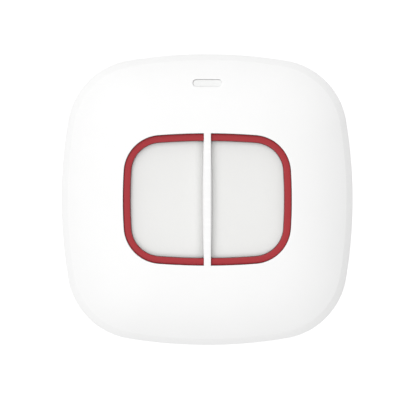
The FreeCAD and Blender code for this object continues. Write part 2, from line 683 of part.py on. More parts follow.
def build_radio():
    module = block("radio_module", "dims.radio_length", "dims.radio_width",
                   "dims.board_rear - dims.radio_depth", "dims.board_rear",
                   *RADIO)
    shield = new_body("radio_shield")
    top = "dims.board_rear - dims.radio_depth"
    low = f"{top} - dims.shield_depth"
    add(shield, "shield_can", low, top,
        (rectangle, "dims.shield_length", "dims.shield_width", *RADIO))
    cut(shield, "shield_hollow", top, f"{low} + dims.shield_sheet",
        (rectangle, "dims.shield_length - 2 * dims.shield_sheet",
         "dims.shield_width - 2 * dims.shield_sheet", *RADIO))
    return module, shield


def build_small_parts():
    rear = "dims.board_rear"
    chip = block("microcontroller", "dims.chip_size", "dims.chip_size",
                 f"{rear} - dims.chip_depth", rear, *CHIP)
    crystal = block("crystal", "dims.crystal_length", "dims.crystal_width",
                    f"{rear} - dims.crystal_depth", rear, *CRYSTAL)
    led = block("status_led", "dims.led_length", "dims.led_width", "dims.board_front",
                "dims.board_front + dims.led_depth", *WINDOW)
    capacitors = []
    for number in range(4):
        x = f"{CHIP[0]} + {number - 1.5} * dims.capacitor_pitch"
        capacitors.append(block(
            f"capacitor{number + 1}", "dims.capacitor_length", "dims.capacitor_width",
            f"{rear} - dims.capacitor_depth", rear, x, f"({HALF} - dims.capacitor_inset)"))
    group = doc.addObject("Part::Compound", "board_capacitors")
    group.Label = "board_capacitors"
    group.Links = capacitors
    return chip, crystal, led, group


def build_tamper_switch():
    foot = "dims.board_rear - dims.tamper_depth"
    body = new_body("tamper_switch_body")
    add(body, "tamper_case", foot, "dims.board_rear",
        (rectangle, "dims.tamper_size", "dims.tamper_size", *TAMPER))
    cut_up(body, "tamper_well", foot, f"{foot} + dims.tamper_depth / 2",
           (circle, "dims.tamper_plunger + 2 * dims.plunger_gap", *TAMPER))
    plunger = new_body("tamper_plunger")
    add(plunger, "tamper_post", f"{foot} - dims.tamper_reach", f"{foot} + dims.tamper_depth / 2",
        (circle, "dims.tamper_plunger", *TAMPER))
    return body, plunger


def build_rear_panel():
    body = new_body("rear_panel")
    top = "dims.panel_depth"
    add(body, "panel_sheet", "0", top,
        (outline, grown(BODY, "-dims.panel_ledge - dims.panel_gap")))
    posts = []
    barbs = []
    for x, side in hook_places():
        posts.append((rectangle, "dims.hook_width", "dims.hook_sheet", x,
                      f"{side} * ({HOOK_LINE} - dims.hook_sheet / 2)"))
        barbs.append((rectangle, "dims.hook_width", "dims.barb_reach + 0.5", x,
                      f"{side} * ({HOOK_LINE} + dims.barb_reach / 2 - 0.25)"))
    add(body, "hook_posts", top, "dims.hook_top", *posts)
    add(body, "hook_barbs", "dims.barb_floor", "dims.barb_floor + dims.barb_depth", *barbs)
    # Pad under the cell and the post that holds the tamper plunger in
    tamper_foot = "dims.board_rear - dims.tamper_depth - dims.tamper_reach"
    add(body, "cell_pad", top, "dims.cell_floor", (circle, "10", *CELL))
    add(body, "tamper_post_seat", top, tamper_foot,
        (circle, "4", *TAMPER))
    cut(body, "wall_holes", top, "0",
        (stadium, "dims.wall_hole_length", "dims.wall_hole", WALL_HOLE, "0"),
        (stadium, "dims.wall_hole_length", "dims.wall_hole", f"-{WALL_HOLE}", "0"))
    return body


build_front_shell()
build_accent_ring()
build_key("left_key", -1)
build_key("right_key", 1)
build_key_carrier()
for side_name, side_sign in (("left", -1), ("right", 1)):
    build_switch(side_name, side_sign)
    build_spring(side_name, side_sign)
build_light_pipe()
build_main_board()
build_board_screws()
build_battery()
build_contacts()
build_antenna_coil()
build_radio()
build_small_parts()
build_tamper_switch()
build_rear_panel()
doc.recompute()

nodes = (
    "front_shell", "accent_ring", "left_key", "right_key", "key_carrier",
    "left_switch_body", "left_switch_plunger", "left_return_spring",
    "right_switch_body", "right_switch_plunger", "right_return_spring",
    "light_pipe", "status_led", "main_board", "board_screws",
    "coin_cell", "battery_holder", "positive_contact", "negative_contact",
    "antenna_coil", "radio_module", "radio_shield", "microcontroller", "crystal",
    "board_capacitors", "tamper_switch_body", "tamper_plunger", "rear_panel",
)
faults = [f"{item.Label}: {item.State}" for item in doc.Objects
          if "Invalid" in item.State or "Error" in item.State]
for name in nodes:
    shape = doc.getObject(name).Shape
    if shape.isNull() or not shape.isValid() or not shape.Solids:
        faults.append(f"{name}: shape is not a valid solid")
if faults:
    raise RuntimeError("; ".join(faults))

os.makedirs("parts", exist_ok=True)
for name in nodes:
    doc.getObject(name).Shape.exportStep(f"parts/{name}.step")
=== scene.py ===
import functools
import math

import bmesh
import bpy
from mathutils import Matrix, Vector


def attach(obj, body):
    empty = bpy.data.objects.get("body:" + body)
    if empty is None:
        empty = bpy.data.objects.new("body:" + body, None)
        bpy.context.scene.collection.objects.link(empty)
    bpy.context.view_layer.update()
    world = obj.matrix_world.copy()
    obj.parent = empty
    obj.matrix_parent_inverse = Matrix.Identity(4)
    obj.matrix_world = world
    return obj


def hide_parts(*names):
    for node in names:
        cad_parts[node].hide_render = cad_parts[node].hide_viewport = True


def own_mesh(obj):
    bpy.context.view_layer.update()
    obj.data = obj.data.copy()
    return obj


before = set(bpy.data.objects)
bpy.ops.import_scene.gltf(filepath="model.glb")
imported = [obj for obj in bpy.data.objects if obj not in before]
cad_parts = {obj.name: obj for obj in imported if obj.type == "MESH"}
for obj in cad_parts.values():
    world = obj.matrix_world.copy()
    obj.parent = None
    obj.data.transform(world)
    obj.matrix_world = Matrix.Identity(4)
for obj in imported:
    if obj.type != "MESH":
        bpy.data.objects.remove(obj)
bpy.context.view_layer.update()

MM = 0.001
RAYS = 360

# Outlines with bowed sides: half width, half height, side bow, end bow, corner radius
BODY = (35.997, 35.997, 118.7, 118.7, 17.95)
RING = (18.8, 14.334, 112.0, 154.05, 7.28)

# Levels and widths of the shell, in millimetres
RIM_LEVEL, WALL_TOP, BEVEL_TOP, CROWN_RISE = 0.4, 9.7, 11.5, 5.985
WALL_DRAFT, BEVEL_WIDTH, WALL = 0.25, 1.65, 2.0
ROOF_FOOT, ROOF_RISE, CROWN_POWER = 10.1, 5.4, 4.0
LEDGE_LEVEL, LEDGE_WIDTH, PANEL_GAP = 2.0, 1.0, 0.1
RING_BORDER, RING_GAP, RING_TOP, RING_FLOOR = 1.76, 0.1, 15.9, 12.6
COLLAR_WIDTH, COLLAR_FLOOR, FLANGE_INSET = 2.6, 13.8, 1.0
RIB_HALF, RIB_FLOOR, RIB_FLARE = 0.845, 12.2, 14.5
RIB_FOOT_END, RIB_FOOT_BOW = 0.97, 0.24
KEY_RIM, KEY_GAP, KEY_DISH, KEY_SIDE_GAP = 14.4, 0.045, 0.45, 0.03
KEY_CORNER, KEY_CENTRE = 0.5, 9.95
SPRING_FOOT, SPRING_LENGTH, SPRING_WIRE = 8.81, 3.78, 0.35
KEY_FLANGE, KEY_WALL, KEY_SKIN, FLANGE_DEPTH = 0.83, 1.2, 1.8, 1.0
WINDOW_Y, WINDOW_LENGTH, WINDOW_WIDTH = 28.4, 7.15, 1.93
PIPE_DEPTH, PIPE_SEAT, PIPE_FOOT, PIPE_FLANGE, PIPE_PLAY = 0.4, 11.2, 9.9, 1.1, 0.078
BOSS_X, BOSS_Y, BOARD_FRONT, BOARD_REAR = 25.5, 19.0, 8.8, 7.6
PANEL_DEPTH, WALL_HOLE_X, WALL_HOLE_LENGTH, WALL_HOLE_WIDTH = 2.0, 24.0, 8.4, 4.4
HOOKS, HOOK_LINE, HOOK_WIDTH, HOOK_SHEET = ((8.0, 1), (-8.0, 1), (0.0, -1)), 33.2, 5.0, 1.5
BARB_FLOOR, BARB_TOP, BARB_REACH, HOOK_TOP, CATCH_GAP = 4.2, 5.4, 1.2, 6.0, 0.15
CELL_Y, CELL_PAD, CELL_FLOOR = -12.0, 5.0, 2.4
TAMPER_X, TAMPER_Y, TAMPER_SEAT, TAMPER_FOOT = 20.0, -11.0, 2.0, 3.4


# Outlines with bowed sides

def grown(form, extra):
    """Outline moved outwards by the same distance all round."""
    return tuple(number + extra for number in form)


def scaled(form, share):
    return tuple(number * share for number in form)


@functools.lru_cache(maxsize=None)
def arcs(form):
    """Centre and radius of the side, corner and end arcs, with the angles where they meet."""
    half_x, half_y, side_bow, end_bow, corner = form
    side = (half_x - side_bow, 0.0)
    end = (0.0, half_y - end_bow)
    gap = math.hypot(side[0], end[1])
    near, far = side_bow - corner, end_bow - corner
    along = (near * near - far * far + gap * gap) / (2 * gap)
    off = math.sqrt(near * near - along * along)
    ux, uy = -side[0] / gap, end[1] / gap
    middle = (side[0] + along * ux - off * uy, along * uy + off * ux)
    meets = []
    for centre, bow in ((side, side_bow), (end, end_bow)):
        dx, dy = middle[0] - centre[0], middle[1] - centre[1]
        length = math.hypot(dx, dy)
        meets.append(math.atan2(centre[1] + bow * dy / length, centre[0] + bow * dx / length))
    return (side, side_bow), (middle, corner), (end, end_bow), meets[0], meets[1]


def reach(form, angle):
    """Distance from the centre to an outline along one ray."""
    dx, dy = abs(math.cos(angle)), abs(math.sin(angle))
    side, corner, end, first, second = arcs(form)
    turn = math.atan2(dy, dx)
    centre, radius = side if turn < first else corner if turn < second else end
    along = dx * centre[0] + dy * centre[1]
    return along + math.sqrt(along * along - centre[0] ** 2 - centre[1] ** 2 + radius ** 2)


DRAFTED = 1 - WALL_DRAFT / BODY[0]
SHOULDER_SHARE = 1 - (WALL_DRAFT + BEVEL_WIDTH) / BODY[0]
SHOULDER = scaled(BODY, SHOULDER_SHARE)
INSIDE = grown(BODY, -WALL)
INNER_SHOULDER = scaled(INSIDE, SHOULDER_SHARE)
WELL = grown((*RING[:4], 7.43), RING_BORDER)
COLLAR = grown(WELL, COLLAR_WIDTH)


def crown(x, y):
    """Level of the shell's front at a place."""
    share = math.hypot(x, y) / reach(SHOULDER, math.atan2(y, x))
    return BEVEL_TOP + CROWN_RISE * (1 - share ** CROWN_POWER)


def roof(x, y):
    """Level of the shell's inside at a place."""
    share = math.hypot(x, y) / reach(INNER_SHOULDER, math.atan2(y, x))
    return ROOF_FOOT + ROOF_RISE * (1 - share ** CROWN_POWER)


# Profiles and meshes

def fillet(before, corner, after, radius, steps=4):
    """Points of the arc that rounds a corner of a profile."""
    ax, ay = before[0] - corner[0], before[1] - corner[1]
    bx, by = after[0] - corner[0], after[1] - corner[1]
    la, lb = math.hypot(ax, ay), math.hypot(bx, by)
    ax, ay, bx, by = ax / la, ay / la, bx / lb, by / lb
    half = math.acos(max(-1.0, min(1.0, ax * bx + ay * by))) / 2
    back = min(radius / math.tan(half), 0.48 * la, 0.48 * lb)
    radius = back * math.tan(half)
    mx, my = ax + bx, ay + by
    size = math.hypot(mx, my)
    to_centre = back / math.cos(half)
    cx, cy = corner[0] + mx / size * to_centre, corner[1] + my / size * to_centre
    start = math.atan2(corner[1] + ay * back - cy, corner[0] + ax * back - cx)
    stop = math.atan2(corner[1] + by * back - cy, corner[0] + bx * back - cx)
    turn = (stop - start + math.pi) % (2 * math.pi) - math.pi
    return [(cx + radius * math.cos(start + turn * k / steps),
             cy + radius * math.sin(start + turn * k / steps)) for k in range(steps + 1)]


def rounded(profile):
    """Closed profile with its corners rounded: (distance, level, edge share) per point."""
    points = []
    for k, (far, level, radius) in enumerate(profile):
        if radius:
            before, after = profile[k - 1], profile[(k + 1) % len(profile)]
            bend = fillet(before[:2], (far, level), after[:2], radius)
            points += [(x, z, 1.0 if 0 < n < len(bend) - 1 else 0.55)
                       for n, (x, z) in enumerate(bend)]
        else:
            points.append((far, level, 0.0))
    return points


class Form:
    """Mesh under way, with the share of edge wear at each of its points."""

    def __init__(self):
        self.mesh = bmesh.new()
        self.edge = self.mesh.verts.layers.float.new("edge")

    def point(self, x, y, z, edge=0.0):
        vert = self.mesh.verts.new((x * MM, y * MM, z * MM))
        vert[self.edge] = edge
        return vert

    def row(self, points):
        return [self.point(*place) for place in points]

    def band(self, first, second, closed=True):
        """Faces between two rows of the same length."""
        count = len(first)
        for k in range(count if closed else count - 1):
            after = (k + 1) % count
            corners = (first[k], first[after], second[after], second[k])
            if len(set(corners)) >= 3:
                self.mesh.faces.new(dict.fromkeys(corners))

    def fan(self, row, x, y, z):
        """Faces from a closed row to one middle point."""
        middle = self.point(x, y, z)
        for k, vert in enumerate(row):
            self.mesh.faces.new((vert, row[(k + 1) % len(row)], middle))

    def finish(self, name, smooth_angle=32.0):
        bmesh.ops.recalc_face_normals(self.mesh, faces=self.mesh.faces)
        data = bpy.data.meshes.new(name)
        self.mesh.to_mesh(data)
        self.mesh.free()
        data.shade_smooth()
        data.set_sharp_from_angle(angle=math.radians(smooth_angle))
        piece = bpy.data.objects.new(name, data)
        bpy.context.scene.collection.objects.link(piece)
        return piece


def swept(form, profile_at):
    """Rows of points round the centre, one for each point of the profile, as a closed tube."""
    columns = []
    for ray in range(RAYS):
        angle = 2 * math.pi * ray / RAYS
        cos, sin = math.cos(angle), math.sin(angle)
        columns.append([form.point(far * cos, far * sin, level, edge)
                        for far, level, edge in profile_at(angle)])
    rows = [list(row) for row in zip(*columns)]
    return rows


def stadium_row(form, length, width, level, across=22, round_steps=16, edge=0.0,
                place=(0.0, WINDOW_Y)):
    """Row along a stadium: upper side, left end, lower side, right end."""
    straight, radius = (length - width) / 2, width / 2
    flat = [(straight - 2 * straight * k / across, radius) for k in range(across)]
    ends = [(-straight - radius * math.sin(math.pi * k / round_steps),
             radius * math.cos(math.pi * k / round_steps)) for k in range(round_steps)]
    places = flat + ends
    places += [(-x, -y) for x, y in places]
    rows = []
    for x, y in places:
        x, y = x + place[0], y + place[1]
        rows.append(form.point(x, y, level(x, y) if callable(level) else level, edge))
    return rows


def mixed_row(form, first, second, share, level):
    """Row between two rows, laid on a surface."""
    row = []
    for one, other in zip(first, second):
        place = one.co.lerp(other.co, share) / MM
        row.append(form.point(place.x, place.y, level(place.x, place.y)))
    return row


# Geometry nodes

class Patch:
    """Geometry node tree under way, with named inputs, sizes in metres."""

    def __init__(self, name, sizes, things=()):
        self.tree = bpy.data.node_groups.new(name, "GeometryNodeTree")
        self.sizes = dict(sizes)
        face = self.tree.interface
        face.new_socket("Geometry", in_out="INPUT", socket_type="NodeSocketGeometry")
        self.sockets = {}
        for label in sizes:
            self.sockets[label] = face.new_socket(label, in_out="INPUT", socket_type="NodeSocketFloat")
        for label in things:
            self.sockets[label] = face.new_socket(label, in_out="INPUT", socket_type="NodeSocketObject")
        self.sockets["Material"] = face.new_socket("Material", in_out="INPUT",
                                                   socket_type="NodeSocketMaterial")
        face.new_socket("Geometry", in_out="OUTPUT", socket_type="NodeSocketGeometry")
        self.given = self.tree.nodes.new("NodeGroupInput")
        self.result = self.tree.nodes.new("NodeGroupOutput")

    def node(self, kind, links=(), **settings):
        """Node with its settings and, by socket name or number, its values and links."""
        made = self.tree.nodes.new(kind)
        for label, value in settings.items():
            setattr(made, label, value)
        for socket, value in links:
            target = made.inputs[socket]
            if isinstance(value, bpy.types.NodeSocket):
                self.tree.links.new(value, target)
            else:
                target.default_value = value
        return made

    def size(self, label):
        return self.given.outputs[label]

    def calc(self, operation, first, second):
        return self.node("ShaderNodeMath", ((0, first), (1, second)), operation=operation).outputs[0]

    def upright(self, z, x=0.0, y=0.0):
        return self.node("ShaderNodeCombineXYZ", (("X", x), ("Y", y), ("Z", z))).outputs[0]

    def join(self, *parts):
        made = self.tree.nodes.new("GeometryNodeJoinGeometry")
        for part in parts:
            self.tree.links.new(part, made.inputs[0])
        return made.outputs[0]

    def moved(self, part, offset):
        return self.node("GeometryNodeTransform", (("Geometry", part), ("Translation", offset))).outputs[0]

    def curve(self, label):
        """Curve along the edges of one of the tree's object inputs."""
        seen = self.node("GeometryNodeObjectInfo", ((0, self.size(label)),))
        return self.node("GeometryNodeMeshToCurve", ((0, seen.outputs["Geometry"]),)).outputs[0]

    def make(self, name, slot_name, **things):
        """Plain mesh of the tree's result, with the modifier gone."""
        data = bpy.data.meshes.new(name)
        piece = bpy.data.objects.new(name, data)
        bpy.context.scene.collection.objects.link(piece)
        step = piece.modifiers.new("repeat", "NODES")
        step.node_group = self.tree
        for label, number in self.sizes.items():
            step[self.sockets[label].identifier] = number
        for label, thing in things.items():
            step[self.sockets[label].identifier] = thing
        step[self.sockets["Material"].identifier] = finishes[slot_name]
        view = bpy.context.evaluated_depsgraph_get()
        view.update()
        piece.data = bpy.data.meshes.new_from_object(piece.evaluated_get(view), depsgraph=view)
        piece.modifiers.remove(step)
        piece.data.name = name
        piece.data.set_sharp_from_angle(angle=math.radians(32))
        bpy.data.meshes.remove(data)
        return piece

    def copies(self, points, part):
        return self.node("GeometryNodeInstanceOnPoints", (("Points", points), ("Instance", part))).outputs[0]

    def finish(self, result):
        """Ends the tree: copies made real, shaded smooth and given the material."""
        real = self.node("GeometryNodeRealizeInstances", (("Geometry", result),))
        smooth = self.node("GeometryNodeSetShadeSmooth", (("Geometry", real.outputs[0]),))
        dressed = self.node("GeometryNodeSetMaterial", (("Geometry", smooth.outputs[0]),
                                                        ("Material", self.size("Material"))))
        self.tree.links.new(dressed.outputs[0], self.result.inputs[0])


# Front shell

CROWN_ROWS, ROOF_ROWS = 48, 38
WINDOW_RAYS, WINDOW_ROWS = (79, 101), 16


def shell_profile(angle):
    """Outside, crown, well, collar, roof and inner wall of the shell along one ray."""
    cos, sin = math.cos(angle), math.sin(angle)
    far, near = reach(SHOULDER, angle) - 0.3, reach(WELL, angle) + 0.4
    points = [(reach(BODY, angle), RIM_LEVEL, 0.25),
              (reach(scaled(BODY, DRAFTED), angle), WALL_TOP, 0.9),
              (reach(SHOULDER, angle), BEVEL_TOP, 0.3)]
    for k in range(CROWN_ROWS + 1):
        out = far + (near - far) * k / CROWN_ROWS
        points.append((out, crown(out * cos, out * sin), 0))
    edge = reach(WELL, angle)
    points += [(edge, crown(edge * cos, edge * sin), 0.2), (edge, COLLAR_FLOOR, 0),
               (reach(COLLAR, angle), COLLAR_FLOOR, 0)]
    near, far = reach(COLLAR, angle) + 0.02, reach(INNER_SHOULDER, angle)
    for k in range(ROOF_ROWS + 1):
        out = near + (far - near) * k / ROOF_ROWS
        points.append((out, roof(out * cos, out * sin), 0))
    ledge = reach(grown(BODY, -LEDGE_WIDTH), angle)
    points += [(reach(scaled(INSIDE, DRAFTED), angle), WALL_TOP - 1.0, 0),
               (reach(INSIDE, angle), LEDGE_LEVEL, 0), (ledge, LEDGE_LEVEL, 0),
               (ledge, RIM_LEVEL, 0)]
    return rounded(points)


def patch_rim(rows, top, bottom):
    """Rim of the part of a surface that is taken away for the window."""
    right, left = WINDOW_RAYS
    rim = [rows[top][ray] for ray in range(right, left)]
    rim += [rows[k][left] for k in range(top, bottom)]
    rim += [rows[bottom][ray] for ray in range(left, right, -1)]
    rim += [rows[k][right] for k in range(bottom, top, -1)]
    return rim


def in_patch(row, ray, top, bottom):
    return top <= row < bottom and WINDOW_RAYS[0] <= ray < WINDOW_RAYS[1]


def window_wall(form, outer, inner):
    """Slot of the status window, from the crown down to its seat under the roof."""
    slot = stadium_row(form, WINDOW_LENGTH + 0.26, WINDOW_WIDTH + 0.26, crown, edge=0.3)
    rows = [outer]
    rows += [mixed_row(form, outer, slot, share / 5, crown) for share in range(1, 5)]
    rows.append(slot)
    lip = 0.08
    for k in range(5):
        turn = math.pi / 2 * k / 4
        out = lip * (1 - math.sin(turn))
        drop = lip * (1 - math.cos(turn))
        rows.append(stadium_row(form, WINDOW_LENGTH + 2 * out, WINDOW_WIDTH + 2 * out,
                                lambda x, y, drop=drop: crown(x, y) - drop, edge=1.0))
    rows.append(stadium_row(form, WINDOW_LENGTH, WINDOW_WIDTH, PIPE_SEAT))
    seat = (WINDOW_LENGTH + 2.6, WINDOW_WIDTH + 2.6)
    rows.append(stadium_row(form, *seat, PIPE_SEAT))
    block = stadium_row(form, *seat, roof)
    rows.append(block)
    rows += [mixed_row(form, block, inner, share / 3, roof) for share in range(1, 3)]
    rows.append(inner)
    for first, second in zip(rows, rows[1:]):
        form.band(first, second)


def build_shell_skin():
    form = Form()
    rows = swept(form, shell_profile)
    form.mesh.verts.ensure_lookup_table()
    crown_top = next(k for k, row in enumerate(rows) if row[90].co.y < 31.45 * MM and k > 12)
    roof_bottom = max(k for k, row in enumerate(rows) if row[90].co.y < 31.1 * MM
                      and row[90].co.z > 9.0 * MM)
    patches = ((crown_top, crown_top + WINDOW_ROWS), (roof_bottom - WINDOW_ROWS, roof_bottom))
    for k, row in enumerate(rows):
        after = rows[(k + 1) % len(rows)]
        for ray in range(RAYS):
            if any(in_patch(k, ray, *patch) for patch in patches):
                continue
            side = (ray + 1) % RAYS
            form.mesh.faces.new((row[ray], row[side], after[side], after[ray]))
    outer = patch_rim(rows, *patches[0])
    # The roof's rows run the other way, from the well outwards
    right, left = WINDOW_RAYS
    low, high = patches[1]
    inner = [rows[high][ray] for ray in range(right, left)]
    inner += [rows[k][left] for k in range(high, low, -1)]
    inner += [rows[low][ray] for ray in range(left, right, -1)]
    inner += [rows[k][right] for k in range(low, high)]
    window_wall(form, outer, inner)
    return form.finish("front_shell_moulding")


def rib_foot(y):
    """Half width of the rib's foot, which bows out towards the middle."""
    return RIB_FOOT_END + RIB_FOOT_BOW * max(0.0, 1 - (y / (RING[1] - KEY_GAP)) ** 2)


def rib_section(y, extra=0.0, low=None):
    """Closed section of the rib, its top on the crown and its foot flared."""
    top = crown(0, y) + 0.004 + extra
    if low is None:
        low = RIB_FLOOR if abs(y) < RING[1] - KEY_GAP else COLLAR_FLOOR + 0.03
    wide, narrow = rib_foot(y) + extra, RIB_HALF + extra
    flare = RIB_FLARE - (wide - narrow)
    side = [(wide, low, 0), (wide, flare, 0.05), (narrow, RIB_FLARE, 0.1), (narrow, top, 0.12)]
    return rounded(side + [(-x, z, bend) for x, z, bend in reversed(side)])


def build_bar(name, stations, section):
    """Bar along Y through the given stations."""
    form = Form()
    rows = [form.row([(x, y, z, edge) for x, z, edge in section(y)]) for y in stations]
    for first, second in zip(rows, rows[1:]):
        form.band(first, second)
    for row in (rows[0], rows[-1]):
        form.mesh.faces.new(row)
    return form.finish(name)


def build_cross_bar(name, x, half, side, section):
    """Bar along X with a section given as distance outwards and level."""
    form = Form()
    ends = [form.row([(x + end, side * out, level, edge) for out, level, edge in section])
            for end in (-half, half)]
    form.band(*ends)
    for row in ends:
        form.mesh.faces.new(row)
    return form.finish(name)


def turned(form, profile, x, y, steps=40):
    """Turned piece about an upright axis, its profile starting and ending on the axis."""
    rows = []
    for radius, level in profile[1:-1]:
        rows.append(form.row([(x + radius * math.cos(2 * math.pi * k / steps),
                               y + radius * math.sin(2 * math.pi * k / steps), level)
                              for k in range(steps)]))
    form.fan(rows[0], x, y, profile[0][1])
    for first, second in zip(rows, rows[1:]):
        form.band(first, second)
    form.fan(rows[-1], x, y, profile[-1][1])


def combine(piece, other, kind):
    """Adds another closed mesh to a piece, or cuts it away, and removes the other."""
    step = piece.modifiers.new(kind, "BOOLEAN")
    step.operation = kind
    step.solver = "EXACT"
    step.object = other
    view = bpy.context.evaluated_depsgraph_get()
    view.update()
    data = bpy.data.meshes.new_from_object(piece.evaluated_get(view), depsgraph=view)
    piece.modifiers.remove(step)
    old, piece.data = piece.data, data
    data.name = piece.name
    bpy.data.meshes.remove(old)
    bpy.data.meshes.remove(other.data)
    welded = bmesh.new()
    welded.from_mesh(data)
    bmesh.ops.remove_doubles(welded, verts=welded.verts, dist=5e-7)
    welded.to_mesh(data)
    welded.free()
    data.set_sharp_from_angle(angle=math.radians(32))


def build_front_shell():
    shell = build_shell_skin()
    stations = [-16.6 + 33.2 * k / 60 for k in range(61)]
    foot = RING[1] - KEY_GAP
    stations = sorted(stations + [-foot - 0.002, -foot + 0.002, foot - 0.002, foot + 0.002])
    combine(shell, build_bar("well_rib", stations, rib_section), "UNION")
    bosses = Form()
    for x, y in ((1, 1), (-1, 1), (-1, -1), (1, -1)):
        turned(bosses, ((0, 12.7), (0.85, 12.7), (0.85, BOARD_FRONT), (2.5, BOARD_FRONT),
                        (2.5, 13.2), (0, 13.2)), x * BOSS_X, y * BOSS_Y)
    combine(shell, bosses.finish("screw_bosses"), "UNION")
    for x, side in HOOKS:
        half, reach_out = HOOK_WIDTH / 2 + CATCH_GAP, HOOK_LINE + BARB_REACH + CATCH_GAP
        low, high = BARB_FLOOR - CATCH_GAP, BARB_TOP + CATCH_GAP
        section = [(HOOK_LINE - 1, low, 0), (reach_out, low, 0), (reach_out, high, 0),
                   (HOOK_LINE - 1, high, 0)]
        combine(shell, build_cross_bar("catch", x, half, side, section), "DIFFERENCE")
    return shell


# Ring, keys and light pipe

def build_loop(name, places):
    """Closed loop of edges that a tree follows, each point with its share of edge wear."""
    data = bpy.data.meshes.new(name)
    count = len(places)
    data.from_pydata([(x * MM, y * MM, 0) for x, y, _ in places],
                     [(k, (k + 1) % count) for k in range(count)], [])
    wear = data.attributes.new("edge", "FLOAT", "POINT")
    wear.data.foreach_set("value", [edge for _, _, edge in places])
    loop = bpy.data.objects.new(name, data)
    bpy.context.scene.collection.objects.link(loop)
    return loop


def ring_section():
    """Section of the ring as distance out from its opening and, turned over, level."""
    outer = RING_BORDER - RING_GAP
    flange = RING_BORDER + COLLAR_WIDTH - FLANGE_INSET
    section = rounded([(0, RING_FLOOR, 0), (0, RING_TOP, 0.3), (outer, RING_TOP, 0.3),
                       (outer, COLLAR_FLOOR - 0.01, 0), (flange, COLLAR_FLOOR - 0.01, 0.2),
                       (flange, RING_FLOOR, 0.2)])
    return [(out, -level, edge) for out, level, edge in reversed(section)]


def build_accent_ring():
    """Ring that follows the well's outline, notched where it passes under the rib."""
    turns = [2 * math.pi * k / RAYS for k in range(RAYS)]
    path = build_loop("ring_path", [(reach(RING, turn) * math.cos(turn),
                                     reach(RING, turn) * math.sin(turn), 0.0) for turn in turns])
    section = build_loop("ring_section", ring_section())
    patch = Patch("ring_along_well", {}, ("Path", "Section"))
    upright = patch.node("GeometryNodeSetCurveNormal", (("Curve", patch.curve("Path")),),
                         mode="Z_UP")
    band = patch.node("GeometryNodeCurveToMesh", (
        ("Curve", upright.outputs[0]), ("Profile Curve", patch.curve("Section"))))
    patch.finish(band.outputs[0])
    ring = patch.make("red_accent_ring", "ring_plastic", Path=path, Section=section)
    for loop in (path, section):
        bpy.data.meshes.remove(loop.data)

    def saddle(y):
        return [(x, z, 0) for x, z, _ in rib_section(y, 0.03, COLLAR_FLOOR - 0.15)]
    combine(ring, build_bar("saddle_cutter", (-25.0, 0.0, 25.0), saddle), "DIFFERENCE")
    return ring


def key_outline(outer, side):
    """Outline of one key in plan: part of a bowed outline, closed along the rib's foot."""
    edge = RIB_FOOT_END + KEY_SIDE_GAP
    low, high = 0.0, math.pi / 2
    for _ in range(50):
        middle = (low + high) / 2
        inside = reach(outer, middle) * math.cos(middle) > edge
        low, high = (middle, high) if inside else (low, middle)
    clear, top = KEY_CORNER * 1.7, reach(outer, low) * math.sin(low)
    widest = low - clear / top
    bow = [(reach(outer, a) * math.cos(a), reach(outer, a) * math.sin(a))
           for a in (-widest + 2 * widest * k / 150 for k in range(151))]
    along = [(top - clear) * (1 - k / 30) for k in range(61)]
    straight = [(rib_foot(y) + KEY_SIDE_GAP, y) for y in along]
    places = bow + fillet(bow[-1], (edge, top), straight[0], KEY_CORNER, 8) + straight
    places += fillet(straight[-1], (edge, -top), bow[0], KEY_CORNER, 8)
    return [(side * x, y) for x, y in places]


def inset(places, distance):
    """Closed outline moved inwards by a small distance."""
    area = sum(a[0] * b[1] - b[0] * a[1] for a, b in zip(places, places[1:] + places[:1]))
    turn = 1 if area > 0 else -1
    moved = []
    for k, (x, y) in enumerate(places):
        px, py = places[k - 1]
        nx, ny = places[(k + 1) % len(places)]
        ax, ay = x - px, y - py
        bx, by = nx - x, ny - y
        la, lb = math.hypot(ax, ay), math.hypot(bx, by)
        mx, my = -(ay / la + by / lb) * turn, (ax / la + bx / lb) * turn
        size = math.hypot(mx, my)
        dot = (mx * -ay / la + my * ax / la) / size * turn
        moved.append((x + mx / size * distance / dot, y + my / size * distance / dot))
    return moved


def build_key(name, side):
    centre = KEY_CENTRE * side
    bowl = RING[1] - 1
    radius = (bowl ** 2 + KEY_DISH ** 2) / (2 * KEY_DISH)

    def face(x, y):
        out = min(math.hypot(x - centre, y), bowl)
        return KEY_RIM - KEY_DISH + radius - math.sqrt(radius ** 2 - out ** 2)

    form = Form()
    rim = key_outline(grown(RING, -KEY_GAP), side)

    def level_row(places, level, edge=0.0):
        return form.row([(x, y, level(x, y) if callable(level) else level, edge) for x, y in places])

    rows = []
    start = inset(rim, 0.25)
    inner = [(centre + (x - centre) * 0.03, y * 0.03) for x, y in start]
    for k in range(18):
        share = k / 18
        rows.append(level_row([(a[0] + (b[0] - a[0]) * share, a[1] + (b[1] - a[1]) * share)
                               for a, b in zip(inner, start)], face))
    rows.append(level_row(start, face))
    bend = 0.15
    for k in range(7):
        turn = math.pi / 2 * k / 6
        out = bend * (1 - math.sin(turn))
        rows.append(level_row(inset(rim, out), lambda x, y, d=bend * (1 - math.cos(turn)):
                              face(x, y) - d, 1.0 if 0 < k < 6 else 0.4))
    rows.append(level_row(rim, RING_FLOOR))
    skirt = key_outline(grown(RING, KEY_FLANGE), side)
    rows.append(level_row(skirt, RING_FLOOR - 0.01))
    rows.append(level_row(skirt, RING_FLOOR - FLANGE_DEPTH))
    hollow = inset(rim, KEY_WALL)
    rows.append(level_row(hollow, RING_FLOOR - FLANGE_DEPTH))
    rows.append(level_row(hollow, KEY_RIM - KEY_SKIN))
    for first, second in zip(rows, rows[1:]):
        form.band(first, second)
    form.fan(rows[0], centre, 0, face(centre, 0))
    form.fan(rows[-1], centre, 0, KEY_RIM - KEY_SKIN)
    return form.finish(name)


